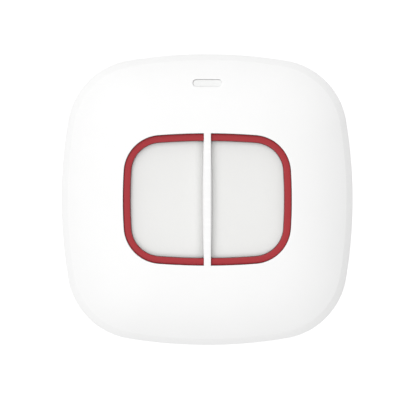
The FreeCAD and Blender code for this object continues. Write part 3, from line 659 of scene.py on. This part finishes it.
def build_light_pipe():
    """Milky pipe that fills the slot, its face sunk below the crown and parallel to it."""
    def face(x, y):
        return crown(x, y) - PIPE_DEPTH

    form = Form()
    length, width = WINDOW_LENGTH - PIPE_PLAY, WINDOW_WIDTH - PIPE_PLAY
    # The pipe rests against the lower and right walls of its slot
    place = (PIPE_PLAY / 2, WINDOW_Y - PIPE_PLAY / 2)
    rows = [stadium_row(form, length - 2 * shrink, width - 2 * shrink, face, place=place)
            for shrink in (0.8, 0.5, 0.2, 0.0)]
    rows.append(stadium_row(form, length, width, PIPE_SEAT - 0.01, place=place))
    wide = (length + 2 * PIPE_FLANGE, width + 2 * PIPE_FLANGE)
    rows.append(stadium_row(form, *wide, PIPE_SEAT - 0.01))
    rows.append(stadium_row(form, *wide, PIPE_SEAT - PIPE_FLANGE))
    rows.append(stadium_row(form, length, width, PIPE_SEAT - PIPE_FLANGE))
    rows.append(stadium_row(form, length, width, PIPE_FOOT))
    rows.append(stadium_row(form, length - 1.2, width - 1.2, PIPE_FOOT))
    for first, second in zip(rows, rows[1:]):
        form.band(first, second)
    form.fan(rows[0], *place, face(*place))
    form.fan(rows[-1], 0, WINDOW_Y, PIPE_FOOT)
    return form.finish("window_light_pipe")


# Rear panel

def build_hook(x, side):
    """Hook of the rear panel, its barb sloped at the top to slide in."""
    base, line = PANEL_DEPTH - 0.3, HOOK_LINE
    section = rounded([(line - HOOK_SHEET, base, 0), (line, base, 0), (line, BARB_FLOOR, 0.12),
                       (line + BARB_REACH, BARB_FLOOR, 0.12), (line + BARB_REACH, BARB_FLOOR + 0.6, 0.2),
                       (line, HOOK_TOP, 0.3), (line - HOOK_SHEET, HOOK_TOP, 0.3)])
    return build_cross_bar("hook", x, HOOK_WIDTH / 2, side, section)


def build_rear_panel():
    form = Form()
    rim = grown(BODY, -LEDGE_WIDTH - PANEL_GAP)

    def profile(angle):
        far = reach(rim, angle)
        return rounded([(2.0, 0.0, 0), (far, 0.0, 0.35), (far, PANEL_DEPTH, 0.25),
                        (2.0, PANEL_DEPTH, 0)])

    rows = swept(form, profile)
    for first, second in zip(rows, rows[1:]):
        form.band(first, second)
    form.fan(rows[0], 0, 0, 0.0)
    form.fan(rows[-1], 0, 0, PANEL_DEPTH)
    panel = form.finish("rear_wall_panel")
    combine(panel, build_hole_cutters(), "DIFFERENCE")
    posts = Form()
    for x, y, radius, top in ((0.0, CELL_Y, CELL_PAD, CELL_FLOOR),
                              (TAMPER_X, TAMPER_Y, TAMPER_SEAT, TAMPER_FOOT)):
        base = PANEL_DEPTH - 0.5
        turned(posts, ((0, base), (radius, base), (radius, top - 0.15),
                       (radius - 0.15, top), (0, top)), x, y, 64)
    combine(panel, posts.finish("posts"), "UNION")
    for x, side in HOOKS:
        combine(panel, build_hook(x, side), "UNION")
    return panel


def build_hole_cutters():
    """Stadiums through the panel that widen at both faces, which rounds the holes' lips."""
    form = Form()
    lip, steps = 0.4, 5
    bend = [(lip * (1 - math.sin(math.pi / 2 * k / steps)), lip * (1 - math.cos(math.pi / 2 * k / steps)))
            for k in range(steps + 1)]
    rows = [(lip, -0.5)] + bend + [(out, PANEL_DEPTH - drop) for out, drop in reversed(bend)]
    rows.append((lip, PANEL_DEPTH + 0.5))
    for x in (-WALL_HOLE_X, WALL_HOLE_X):
        rings = [stadium_row(form, WALL_HOLE_LENGTH + 2 * out, WALL_HOLE_WIDTH + 2 * out, level,
                             edge=0.8, place=(x, 0.0)) for out, level in rows]
        for first, second in zip(rings, rings[1:]):
            form.band(first, second)
        form.fan(rings[0], x, 0, -0.5)
        form.fan(rings[-1], x, 0, PANEL_DEPTH + 0.5)
    return form.finish("hole_cutters")


# Small pieces that repeat

def build_board_screws():
    """Four pan-head screws with a cross recess and a rolled thread, driven from behind."""
    patch = Patch("board_screw_rows", {
        "Spacing across": 2 * BOSS_X * MM, "Spacing along": 2 * BOSS_Y * MM,
        "Seat level": BOARD_REAR * MM, "Head width": 0.0038, "Head height": 0.0014,
        "Core width": 0.00142, "Thread width": 0.00024, "Thread length": 0.0044,
        "Thread turns": 7.0, "Recess span": 0.0022, "Recess arm": 0.00056, "Recess depth": 0.0008})
    head_height, head_width = patch.size("Head height"), patch.size("Head width")
    skirt = patch.calc("MULTIPLY", head_height, 0.55)
    drum = patch.node("GeometryNodeMeshCylinder", (
        ("Vertices", 40), ("Radius", patch.calc("MULTIPLY", head_width, 0.5)), ("Depth", skirt)))
    mesh, face = drum.outputs["Mesh"], drum.outputs["Bottom"]
    for drop, shrink in ((0.2, 0.92), (0.15, 0.86), (0.1, 0.72)):
        grown_head = patch.node("GeometryNodeExtrudeMesh", (
            ("Mesh", mesh), ("Selection", face),
            ("Offset", patch.upright(patch.calc("MULTIPLY", head_height, -drop))),
            ("Offset Scale", 1.0), ("Individual", False)))
        slimmed = patch.node("GeometryNodeScaleElements", (
            ("Geometry", grown_head.outputs["Mesh"]), ("Selection", grown_head.outputs["Top"]),
            ("Scale", shrink)))
        mesh, face = slimmed.outputs[0], grown_head.outputs["Top"]
    head = patch.moved(mesh, patch.upright(patch.calc("MULTIPLY", skirt, -0.5)))
    span, arm, depth = (patch.size(f"Recess {label}") for label in ("span", "arm", "depth"))
    arms = [patch.node("GeometryNodeMeshCube", (("Size", patch.upright(depth, *sides)),)).outputs[0]
            for sides in ((span, arm), (arm, span))]
    level = patch.calc("SUBTRACT", patch.calc("MULTIPLY", depth, 0.5), head_height)
    cross = [patch.moved(part, patch.upright(patch.calc("SUBTRACT", level, 0.00002))) for part in arms]
    cut = patch.node("GeometryNodeMeshBoolean", (("Mesh 1", head), ("Mesh 2", cross[0])),
                     operation="DIFFERENCE", solver="EXACT")
    cut = patch.node("GeometryNodeMeshBoolean", (("Mesh 1", cut.outputs[0]), ("Mesh 2", cross[1])),
                     operation="DIFFERENCE", solver="EXACT")
    length = patch.size("Thread length")
    core = patch.node("GeometryNodeMeshCylinder", (
        ("Vertices", 28), ("Radius", patch.calc("MULTIPLY", patch.size("Core width"), 0.5)),
        ("Depth", length)))
    core = patch.moved(core.outputs[0], patch.upright(patch.calc("MULTIPLY", length, 0.5)))
    tip = patch.node("GeometryNodeMeshCone", (
        ("Vertices", 28), ("Radius Top", 0.0001), ("Depth", 0.0004),
        ("Radius Bottom", patch.calc("MULTIPLY", patch.size("Core width"), 0.5))))
    tip = patch.moved(tip.outputs[0], patch.upright(length))
    rise = patch.node("GeometryNodeCurveSpiral", (
        ("Resolution", 24), ("Rotations", patch.size("Thread turns")),
        ("Start Radius", patch.calc("MULTIPLY", patch.size("Core width"), 0.5)),
        ("End Radius", patch.calc("MULTIPLY", patch.size("Core width"), 0.5)),
        ("Height", length)))
    ridge = patch.node("GeometryNodeCurvePrimitiveCircle", (("Resolution", 4),
                       ("Radius", patch.calc("MULTIPLY", patch.size("Thread width"), 0.5))))
    thread = patch.node("GeometryNodeCurveToMesh", (
        ("Curve", rise.outputs[0]), ("Profile Curve", ridge.outputs[0]), ("Fill Caps", True)))
    screw = patch.join(cut.outputs[0], core, tip, thread.outputs[0])
    corners = patch.node("GeometryNodeMeshGrid", (
        ("Size X", patch.size("Spacing across")), ("Size Y", patch.size("Spacing along")),
        ("Vertices X", 2), ("Vertices Y", 2)))
    corners = patch.moved(corners.outputs[0], patch.upright(patch.size("Seat level")))
    patch.finish(patch.copies(corners, screw))
    return patch.make("cross_head_screws", "screw_steel")


def build_board_capacitors():
    """Row of four chip capacitors with tinned ends that stand proud of the ceramic."""
    patch = Patch("capacitor_row", {
        "Row start": 7.5 * MM, "Row place": 10.5 * MM, "Seat level": BOARD_REAR * MM,
        "Pitch": 3.0 * MM, "Length": 1.6 * MM, "Width": 0.8 * MM, "End length": 0.3 * MM})
    length, width, end = patch.size("Length"), patch.size("Width"), patch.size("End length")
    body_width = patch.calc("MULTIPLY", width, 0.94)
    body = patch.node("GeometryNodeMeshCube", (
        ("Size", patch.upright(body_width, patch.calc("SUBTRACT", length, end), body_width)),))
    cap = patch.node("GeometryNodeMeshCube", (("Size", patch.upright(width, end, width)),))
    shift = patch.calc("MULTIPLY", patch.calc("SUBTRACT", length, end), 0.5)
    caps = patch.join(*(patch.moved(cap.outputs[0], patch.upright(0.0, patch.calc("MULTIPLY", shift, side)))
                        for side in (-1.0, 1.0)))
    tinned = patch.node("GeometryNodeStoreNamedAttribute", (
        ("Geometry", caps), ("Name", "tin"), ("Value", 1.0)), data_type="FLOAT", domain="POINT")
    part = patch.moved(patch.join(body.outputs[0], tinned.outputs[0]),
                       patch.upright(patch.calc("MULTIPLY", width, -0.5)))
    row = patch.node("GeometryNodeMeshLine", (
        ("Count", 4), ("Start Location", patch.upright(
            patch.size("Seat level"), patch.size("Row start"), patch.size("Row place"))),
        ("Offset", patch.upright(0.0, patch.size("Pitch")))))
    patch.finish(patch.copies(row.outputs[0], part))
    return patch.make("chip_capacitors", "capacitor_ceramic")


def build_return_springs():
    """Coil springs under the keys, with a closed turn at each end."""
    patch = Patch("return_spring_coil", {
        "Place across": 0.0, "Seat level": SPRING_FOOT * MM, "Free length": SPRING_LENGTH * MM,
        "Coil width": 9.3 * MM, "Wire width": SPRING_WIRE * MM, "Closed pitch": 0.38 * MM,
        "Turns": 5.0})
    wire, turns = patch.size("Wire width"), patch.size("Turns")
    radius = patch.calc("MULTIPLY", patch.calc("SUBTRACT", patch.size("Coil width"), wire), 0.5)
    wire_radius = patch.calc("MULTIPLY", wire, 0.5)
    circles = patch.node("GeometryNodeCurveSpiral", (
        ("Resolution", 48), ("Rotations", turns), ("Start Radius", radius),
        ("End Radius", radius), ("Height", 0.0)))
    share = patch.node("GeometryNodeSplineParameter").outputs["Factor"]
    closed = patch.calc("MULTIPLY", turns, patch.size("Closed pitch"))
    one_turn = patch.calc("DIVIDE", 1.0, turns)
    rise = patch.calc("SUBTRACT", patch.calc("SUBTRACT", patch.size("Free length"), wire), closed)
    middle = patch.node("ShaderNodeMapRange", (
        ("Value", share), ("From Min", one_turn), ("From Max", patch.calc("SUBTRACT", 1.0, one_turn)),
        ("To Min", 0.0), ("To Max", rise)), interpolation_type="SMOOTHSTEP")
    lift = patch.calc("ADD", patch.calc("MULTIPLY", share, closed), middle.outputs["Result"])
    helix = patch.node("GeometryNodeSetPosition", (
        ("Geometry", circles.outputs[0]), ("Offset", patch.upright(lift))))
    section = patch.node("GeometryNodeCurvePrimitiveCircle", (("Resolution", 12),
                                                              ("Radius", wire_radius)))
    coil = patch.node("GeometryNodeCurveToMesh", (
        ("Curve", helix.outputs[0]), ("Profile Curve", section.outputs[0]), ("Fill Caps", True)))
    patch.finish(patch.moved(coil.outputs[0], patch.upright(
        patch.calc("ADD", patch.size("Seat level"), wire_radius), patch.size("Place across"))))
    springs = {}
    for side, sign in (("left", -1), ("right", 1)):
        patch.sizes["Place across"] = sign * KEY_CENTRE * MM
        springs[side] = patch.make(f"{side}_coil_spring", "spring_wire")
    return springs


# Finishes

def group_tree(name, inputs, outputs):
    tree = bpy.data.node_groups.new(name, "ShaderNodeTree")
    for label, number in inputs:
        socket = tree.interface.new_socket(label, in_out="INPUT", socket_type="NodeSocketFloat")
        socket.default_value = number
    for label in outputs:
        tree.interface.new_socket(label, in_out="OUTPUT", socket_type="NodeSocketFloat")
    return tree, tree.nodes.new("NodeGroupInput"), tree.nodes.new("NodeGroupOutput")


def math_node(tree, operation, first, second):
    calc = tree.nodes.new("ShaderNodeMath")
    calc.operation = operation
    for socket, value in zip(calc.inputs, (first, second)):
        if isinstance(value, (int, float)):
            socket.default_value = value
        else:
            tree.links.new(value, socket)
    return calc.outputs[0]


def noise_node(tree, scale, detail=2.0, coordinates=None):
    noise = tree.nodes.new("ShaderNodeTexNoise")
    noise.inputs["Detail"].default_value = detail
    place = coordinates or tree.nodes.new("ShaderNodeTexCoord").outputs["Object"]
    tree.links.new(place, noise.inputs["Vector"])
    if isinstance(scale, (int, float)):
        noise.inputs["Scale"].default_value = scale
    else:
        tree.links.new(scale, noise.inputs["Scale"])
    return noise.outputs["Fac"]


def make_moulded_grain():
    """Fine spark-eroded grain with slow mottling, as a mould leaves it on plastic."""
    tree, given, result = group_tree(
        "moulded_grain", (("Grains per metre", 2200.0), ("Mottles per metre", 90.0)),
        ("Height", "Speckle", "Mottle"))
    coarse = noise_node(tree, given.outputs["Grains per metre"], 3.0)
    finer = noise_node(tree, math_node(tree, "MULTIPLY", given.outputs["Grains per metre"], 2.7), 1.0)
    height = math_node(tree, "ADD", coarse, math_node(tree, "MULTIPLY", finer, 0.5))
    tree.links.new(height, result.inputs["Height"])
    tree.links.new(finer, result.inputs["Speckle"])
    tree.links.new(noise_node(tree, given.outputs["Mottles per metre"], 4.0), result.inputs["Mottle"])
    return tree


def make_edge_wear():
    """Rounded edges from the piece's own attribute, broken up a little."""
    tree, given, result = group_tree("edge_wear", (("Breaks per metre", 400.0),), ("Mask",))
    edge = tree.nodes.new("ShaderNodeAttribute")
    edge.attribute_name = "edge"
    breaks = noise_node(tree, given.outputs["Breaks per metre"], 3.0)
    mask = math_node(tree, "MULTIPLY", edge.outputs["Fac"], math_node(tree, "ADD", breaks, 0.45))
    tree.links.new(mask, result.inputs["Mask"])
    return tree


def make_drawn_metal():
    """Long fine streaks along X, as rolling or drawing leaves them."""
    tree, given, result = group_tree(
        "drawn_metal", (("Streaks per metre", 3000.0), ("Stretch", 0.04)), ("Streak", "Stain"))
    place = tree.nodes.new("ShaderNodeTexCoord")
    turn = tree.nodes.new("ShaderNodeMapping")
    stretch = tree.nodes.new("ShaderNodeCombineXYZ")
    tree.links.new(given.outputs["Stretch"], stretch.inputs["X"])
    stretch.inputs["Y"].default_value = 1.0
    stretch.inputs["Z"].default_value = 1.0
    tree.links.new(stretch.outputs[0], turn.inputs["Scale"])
    tree.links.new(place.outputs["Object"], turn.inputs["Vector"])
    streak = noise_node(tree, given.outputs["Streaks per metre"], 2.0, turn.outputs[0])
    tree.links.new(streak, result.inputs["Streak"])
    tree.links.new(noise_node(tree, 140.0, 4.0), result.inputs["Stain"])
    return tree


# Strengths of the painted shade on the left and right keys beside the rib
LEFT_PAINTED_SHADE, RIGHT_PAINTED_SHADE = 0.31, 0.065
GRAIN = make_moulded_grain()
WEAR = make_edge_wear()
METAL = make_drawn_metal()


def place_group(tree, group, **values):
    made = tree.nodes.new("ShaderNodeGroup")
    made.node_tree = group
    for label, number in values.items():
        made.inputs[label.replace("_", " ")].default_value = number
    return made


def blend_colour(tree, factor, first, second):
    """Mix of two colours, each a triple or a socket."""
    mix = tree.nodes.new("ShaderNodeMix")
    mix.data_type = "RGBA"
    tree.links.new(factor, mix.inputs["Factor"])
    for socket, colour in ((mix.inputs[6], first), (mix.inputs[7], second)):
        if isinstance(colour, tuple):
            socket.default_value = (*colour, 1.0)
        else:
            tree.links.new(colour, socket)
    return mix.outputs[2]


def spread(tree, source, low, high):
    """A 0 to 1 value brought into a range."""
    ranged = tree.nodes.new("ShaderNodeMapRange")
    ranged.inputs["From Min"].default_value = 0.3
    ranged.inputs["From Max"].default_value = 0.7
    ranged.inputs["To Min"].default_value = low
    ranged.inputs["To Max"].default_value = high
    tree.links.new(source, ranged.inputs["Value"])
    return ranged.outputs[0]


def start_material(name):
    material = bpy.data.materials.new(name)
    material.use_nodes = True
    tree = material.node_tree
    return material, tree, tree.nodes["Principled BSDF"]


def bumped(tree, shader, height, strength, depth):
    bump = tree.nodes.new("ShaderNodeBump")
    bump.inputs["Strength"].default_value = strength
    bump.inputs["Distance"].default_value = depth
    tree.links.new(height, bump.inputs["Height"])
    tree.links.new(bump.outputs[0], shader.inputs["Normal"])


def shaded(colour, share):
    return tuple(channel * share for channel in colour)


def faded(tree, source, full, none):
    """1 where the source is at the first number, fading softly to 0 at the second."""
    fade = tree.nodes.new("ShaderNodeMapRange")
    fade.interpolation_type = "SMOOTHSTEP"
    for label, number in (("From Min", full), ("From Max", none), ("To Min", 1.0), ("To Max", 0.0)):
        fade.inputs[label].default_value = number
    tree.links.new(source, fade.inputs["Value"])
    return fade.outputs[0]


def painted_shade_beside_rib(tree, ground, colour):
    """Painted shade on the keys along the rib, darker on the left one: the keys' colour is darkened near the
    rib, where its shade falls.
    """
    place = tree.nodes.new("ShaderNodeTexCoord").outputs["Object"]
    parts = tree.nodes.new("ShaderNodeSeparateXYZ")
    tree.links.new(place, parts.inputs[0])
    across = parts.outputs["X"]
    on_left = math_node(tree, "LESS_THAN", across, 0.0)
    left = math_node(tree, "POWER", faded(tree, across, -0.0009, -0.0039), 1.8)
    left = math_node(tree, "MULTIPLY", math_node(tree, "MULTIPLY", left, on_left), LEFT_PAINTED_SHADE)
    on_right = math_node(tree, "SUBTRACT", 1.0, on_left)
    right = math_node(tree, "MULTIPLY", faded(tree, across, 0.0018, 0.004), on_right)
    right = math_node(tree, "MULTIPLY", right, RIGHT_PAINTED_SHADE)
    return blend_colour(tree, math_node(tree, "ADD", left, right), ground, shaded(colour, 0.1))


def moulded(name, colour, roughness, grains=2200.0, depth=0.000012, strength=0.35,
            mottle=0.985, worn=None, specular=0.4, bounce=None, painted_rib_shade=False):
    """Moulded plastic: fine grain, slow mottling and slightly polished edges."""
    material, tree, shader = start_material(name)
    grain = place_group(tree, GRAIN, Grains_per_metre=grains)
    wear = place_group(tree, WEAR)
    ground = blend_colour(tree, spread(tree, grain.outputs["Mottle"], 0, 1),
                          shaded(colour, mottle), colour)
    specks = spread(tree, grain.outputs["Speckle"], 0, 0.35)
    ground = blend_colour(tree, specks, ground, shaded(colour, mottle * 0.985))
    worn = worn or tuple(min(1.0, channel * 1.02 + 0.004) for channel in colour)
    ground = blend_colour(tree, wear.outputs["Mask"], ground, worn)
    # Painted shade on the keys beside the rib
    if painted_rib_shade:
        ground = painted_shade_beside_rib(tree, ground, colour)
    # Painted bounce light: diffuse rays see the ring in a dim grey, so less red light falls from it onto the
    # keys
    if bounce:
        path = tree.nodes.new("ShaderNodeLightPath")
        ground = blend_colour(tree, path.outputs["Is Diffuse Ray"], ground, bounce)
    tree.links.new(ground, shader.inputs["Base Color"])
    gloss = spread(tree, grain.outputs["Mottle"], roughness - 0.03, roughness + 0.04)
    gloss = math_node(tree, "SUBTRACT", gloss, math_node(tree, "MULTIPLY", wear.outputs["Mask"], 0.08))
    tree.links.new(gloss, shader.inputs["Roughness"])
    shader.inputs["Specular IOR Level"].default_value = specular
    bumped(tree, shader, grain.outputs["Height"], strength, depth)
    return material


def metal(name, colour, roughness, stretch=0.04, streaks=3000.0, dark=0.8):
    """Sheet or drawn metal with fine streaks and faint stains."""
    material, tree, shader = start_material(name)
    drawn = place_group(tree, METAL, Streaks_per_metre=streaks, Stretch=stretch)
    ground = blend_colour(tree, spread(tree, drawn.outputs["Streak"], 0, 1),
                          shaded(colour, dark), colour)
    ground = blend_colour(tree, spread(tree, drawn.outputs["Stain"], 0, 0.3),
                          ground, shaded(colour, 0.85))
    tree.links.new(ground, shader.inputs["Base Color"])
    tree.links.new(spread(tree, drawn.outputs["Streak"], roughness - 0.06, roughness + 0.08),
                   shader.inputs["Roughness"])
    shader.inputs["Metallic"].default_value = 1.0
    bumped(tree, shader, drawn.outputs["Streak"], 0.3, 0.00001)
    return material


def chip_ceramic(name, colour, tin):
    """Fired ceramic body with tinned ends, told apart by the piece's own attribute."""
    material, tree, shader = start_material(name)
    grain = place_group(tree, GRAIN, Grains_per_metre=4000.0)
    drawn = place_group(tree, METAL, Streaks_per_metre=9000.0, Stretch=1.0)
    ends = tree.nodes.new("ShaderNodeAttribute")
    ends.attribute_name = "tin"
    fired = blend_colour(tree, spread(tree, grain.outputs["Mottle"], 0, 1),
                         shaded(colour, 0.82), colour)
    plated = blend_colour(tree, spread(tree, drawn.outputs["Streak"], 0, 1), shaded(tin, 0.8), tin)
    tree.links.new(blend_colour(tree, ends.outputs["Fac"], fired, plated),
                   shader.inputs["Base Color"])
    tree.links.new(ends.outputs["Fac"], shader.inputs["Metallic"])
    tree.links.new(spread(tree, grain.outputs["Mottle"], 0.34, 0.46), shader.inputs["Roughness"])
    bumped(tree, shader, grain.outputs["Height"], 0.3, 0.00001)
    return material


def laminate(name, mask_colour, fibre_colour):
    """Board laminate: solder mask over a faint woven glass pattern."""
    material, tree, shader = start_material(name)
    place = tree.nodes.new("ShaderNodeTexCoord").outputs["Object"]
    weave = []
    for direction in ("X", "Y"):
        wave = tree.nodes.new("ShaderNodeTexWave")
        wave.bands_direction = direction
        wave.inputs["Scale"].default_value = 520.0
        wave.inputs["Distortion"].default_value = 0.6
        tree.links.new(place, wave.inputs["Vector"])
        weave.append(wave.outputs["Fac"])
    cloth = math_node(tree, "MULTIPLY", *weave)
    grain = place_group(tree, GRAIN, Grains_per_metre=1500.0)
    ground = blend_colour(tree, cloth, mask_colour, fibre_colour)
    ground = blend_colour(tree, spread(tree, grain.outputs["Mottle"], 0, 0.4),
                          ground, shaded(mask_colour, 0.8))
    tree.links.new(ground, shader.inputs["Base Color"])
    tree.links.new(spread(tree, grain.outputs["Mottle"], 0.32, 0.42), shader.inputs["Roughness"])
    bumped(tree, shader, cloth, 0.25, 0.00002)
    return material


def translucent(name, colour):
    """Milky moulded window with light mottling."""
    material, tree, shader = start_material(name)
    grain = place_group(tree, GRAIN, Grains_per_metre=1600.0, Mottles_per_metre=260.0)
    wear = place_group(tree, WEAR)
    ground = blend_colour(tree, spread(tree, grain.outputs["Mottle"], 0, 1),
                          shaded(colour, 0.975), colour)
    tree.links.new(blend_colour(tree, wear.outputs["Mask"], ground, (0.97, 0.97, 0.96)),
                   shader.inputs["Base Color"])
    tree.links.new(spread(tree, grain.outputs["Mottle"], 0.34, 0.44), shader.inputs["Roughness"])
    shader.inputs["Subsurface Weight"].default_value = 0.25
    shader.inputs["Subsurface Radius"].default_value = (0.001, 0.001, 0.001)
    shader.inputs["Subsurface Scale"].default_value = 0.6
    bumped(tree, shader, grain.outputs["Height"], 0.2, 0.000008)
    return material


finishes = {
    "shell_plastic": moulded("white_satin_shell", (0.94, 0.94, 0.938), 0.5, specular=0.3),
    "panel_plastic": moulded("white_matte_panel", (0.88, 0.88, 0.87), 0.55, grains=1500.0,
                             depth=0.00003),
    "ring_plastic": moulded("red_satin_ring", (0.385, 0.026, 0.034), 0.45, mottle=0.94,
                            worn=(0.41, 0.035, 0.045), specular=0.28,
                            bounce=(0.10, 0.06, 0.06)),
    # The keys get painted shade beside the rib
    "key_plastic": moulded("white_matte_keys", (0.83, 0.83, 0.818), 0.6, grains=1300.0,
                           depth=0.00002, strength=0.5, mottle=0.98, painted_rib_shade=True),
    "carrier_plastic": moulded("natural_carrier", (0.62, 0.62, 0.6), 0.5),
    "switch_plastic": moulded("dark_switch_case", (0.03, 0.03, 0.032), 0.45, mottle=0.8),
    "plunger_plastic": moulded("cream_plunger", (0.75, 0.7, 0.58), 0.4, mottle=0.95),
    "light_pipe": translucent("milky_light_pipe", (0.88, 0.883, 0.877)),
    "led_body": translucent("diode_resin", (0.85, 0.8, 0.6)),
    "board_laminate": laminate("green_laminate", (0.02, 0.16, 0.06), (0.05, 0.24, 0.1)),
    "screw_steel": metal("zinc_screw", (0.62, 0.62, 0.6), 0.32),
    "spring_wire": metal("spring_steel", (0.55, 0.56, 0.58), 0.28, stretch=0.2),
    "cell_steel": metal("nickel_cell", (0.66, 0.66, 0.65), 0.3),
    "contact_metal": metal("tinned_contact", (0.7, 0.68, 0.62), 0.34),
    "coil_copper": metal("enamelled_copper", (0.72, 0.32, 0.14), 0.3, stretch=0.3),
    "shield_metal": metal("tinned_shield", (0.72, 0.72, 0.71), 0.36, stretch=1.0),
    "chip_plastic": moulded("chip_resin", (0.02, 0.02, 0.022), 0.5, grains=3500.0, mottle=0.8),
    "capacitor_ceramic": chip_ceramic("tan_ceramic", (0.5, 0.36, 0.22), (0.7, 0.69, 0.66)),
}


def dress(piece, slot_name):
    piece.data.materials.clear()
    piece.data.materials.append(finishes[slot_name])


# Pieces on their bodies

def put(piece, node, body, slot_name):
    dress(piece, slot_name)
    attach(piece, body)
    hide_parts(node)


put(build_front_shell(), "front_shell", "housing", "shell_plastic")
put(build_accent_ring(), "accent_ring", "housing", "ring_plastic")
put(build_key("left_finger_key", -1), "left_key", "left_button", "key_plastic")
put(build_key("right_finger_key", 1), "right_key", "right_button", "key_plastic")
put(build_light_pipe(), "light_pipe", "housing", "light_pipe")
put(build_rear_panel(), "rear_panel", "housing", "panel_plastic")
put(build_board_screws(), "board_screws", "housing", "screw_steel")
put(build_board_capacitors(), "board_capacitors", "housing", "capacitor_ceramic")
for side, spring in build_return_springs().items():
    put(spring, f"{side}_return_spring", "housing", "spring_wire")
    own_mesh(spring)

for name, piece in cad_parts.items():
    slots = [m for m in piece.data.materials]
    for k, material in enumerate(slots):
        label = material.name.split(".")[0] if material else ""
        if label in finishes:
            piece.data.materials[k] = finishes[label]
        else:
            print("node without a finish:", name, label)


# Floor, light and camera

FLOOR_LEVEL = -0.00005
FLOOR_GLOW = 0.95
FLOOR_WHITE = (0.63, 0.63, 0.63)
UPPER_LAMP = ((-0.3625, 0.628, 1.256), 0.8, 5.05)
LOWER_LAMP = ((-0.3625, -0.628, 1.256), 0.8, 5.5)
TOP_LAMP = ((0.0, 1.314, 0.613), 0.8, 2.0)
SKY = 0.59


def make_floor():
    data = bpy.data.meshes.new("floor")
    corners = [(-3, -3, FLOOR_LEVEL), (3, -3, FLOOR_LEVEL), (3, 3, FLOOR_LEVEL), (-3, 3, FLOOR_LEVEL)]
    data.from_pydata(corners, [], [(0, 1, 2, 3)])
    floor = bpy.data.objects.new("floor", data)
    bpy.context.scene.collection.objects.link(floor)
    material, tree, shader = start_material("pale_floor")
    shader.inputs["Base Color"].default_value = (*FLOOR_WHITE, 1.0)
    shader.inputs["Roughness"].default_value = 0.9
    path = tree.nodes.new("ShaderNodeLightPath")
    seen = math_node(tree, "MAXIMUM", path.outputs["Is Camera Ray"], path.outputs["Is Glossy Ray"])
    seen = math_node(tree, "MAXIMUM", seen, path.outputs["Is Transmission Ray"])
    tree.links.new(math_node(tree, "MULTIPLY", seen, FLOOR_GLOW), shader.inputs["Emission Strength"])
    shader.inputs["Emission Color"].default_value = (1, 1, 1, 1)
    darker = math_node(tree, "SUBTRACT", 1.0, math_node(tree, "MULTIPLY", seen, 0.72))
    tree.links.new(blend_colour(tree, darker, (0.0, 0.0, 0.0), FLOOR_WHITE),
                   shader.inputs["Base Color"])
    # Clear from below, so that the rear of the object can be looked at and is lit
    clear = tree.nodes.new("ShaderNodeBsdfTransparent")
    behind = tree.nodes.new("ShaderNodeNewGeometry").outputs["Backfacing"]
    touching = math_node(tree, "LESS_THAN", path.outputs["Ray Length"], 0.0003)
    mix = tree.nodes.new("ShaderNodeMixShader")
    tree.links.new(math_node(tree, "MAXIMUM", behind, touching), mix.inputs[0])
    tree.links.new(shader.outputs[0], mix.inputs[1])
    tree.links.new(clear.outputs[0], mix.inputs[2])
    tree.links.new(mix.outputs[0], tree.nodes["Material Output"].inputs["Surface"])
    data.materials.append(material)


def make_world():
    world = bpy.data.worlds.new("studio")
    bpy.context.scene.world = world
    world.use_nodes = True
    tree = world.node_tree
    back = tree.nodes["Background"]
    back.inputs["Color"].default_value = (1, 1, 1, 1)
    path = tree.nodes.new("ShaderNodeLightPath")
    seen = math_node(tree, "MAXIMUM", path.outputs["Is Camera Ray"], path.outputs["Is Glossy Ray"])
    seen = math_node(tree, "MAXIMUM", seen, path.outputs["Is Transmission Ray"])
    tree.links.new(math_node(tree, "ADD", math_node(tree, "MULTIPLY", seen, 1 - SKY), SKY),
                   back.inputs["Strength"])


def make_lamp(name, place, size, power):
    data = bpy.data.lights.new(name, "AREA")
    data.shape = "DISK"
    data.size = size
    data.energy = power
    lamp = bpy.data.objects.new(name, data)
    lamp.location = place
    lamp.rotation_euler = Vector(place).to_track_quat("Z", "Y").to_euler()
    bpy.context.scene.collection.objects.link(lamp)


VIEW_AIM = Vector((-1.762, -0.124, 8.0)) * MM
VIEW_DISTANCE = 0.642
VIEW_SIDE = math.radians(-0.225)


def make_camera():
    data = bpy.data.cameras.new("front_view")
    data.lens = 234.5
    data.sensor_width = 36.0
    data.clip_end = 20.0
    camera = bpy.data.objects.new("front_view", data)
    toward = Vector((math.sin(VIEW_SIDE), 0.0, math.cos(VIEW_SIDE)))
    camera.location = VIEW_AIM + toward * VIEW_DISTANCE
    right = Vector((0, 1, 0)).cross(toward).normalized()
    camera.rotation_euler = Matrix((right, toward.cross(right), toward)).transposed().to_euler()
    bpy.context.scene.collection.objects.link(camera)
    bpy.context.scene.camera = camera


make_floor()
make_world()
make_lamp("upper_lamp", *UPPER_LAMP)
make_lamp("lower_lamp", *LOWER_LAMP)
make_lamp("top_lamp", *TOP_LAMP)
make_camera()
bpy.context.scene.view_settings.view_transform = "Standard"
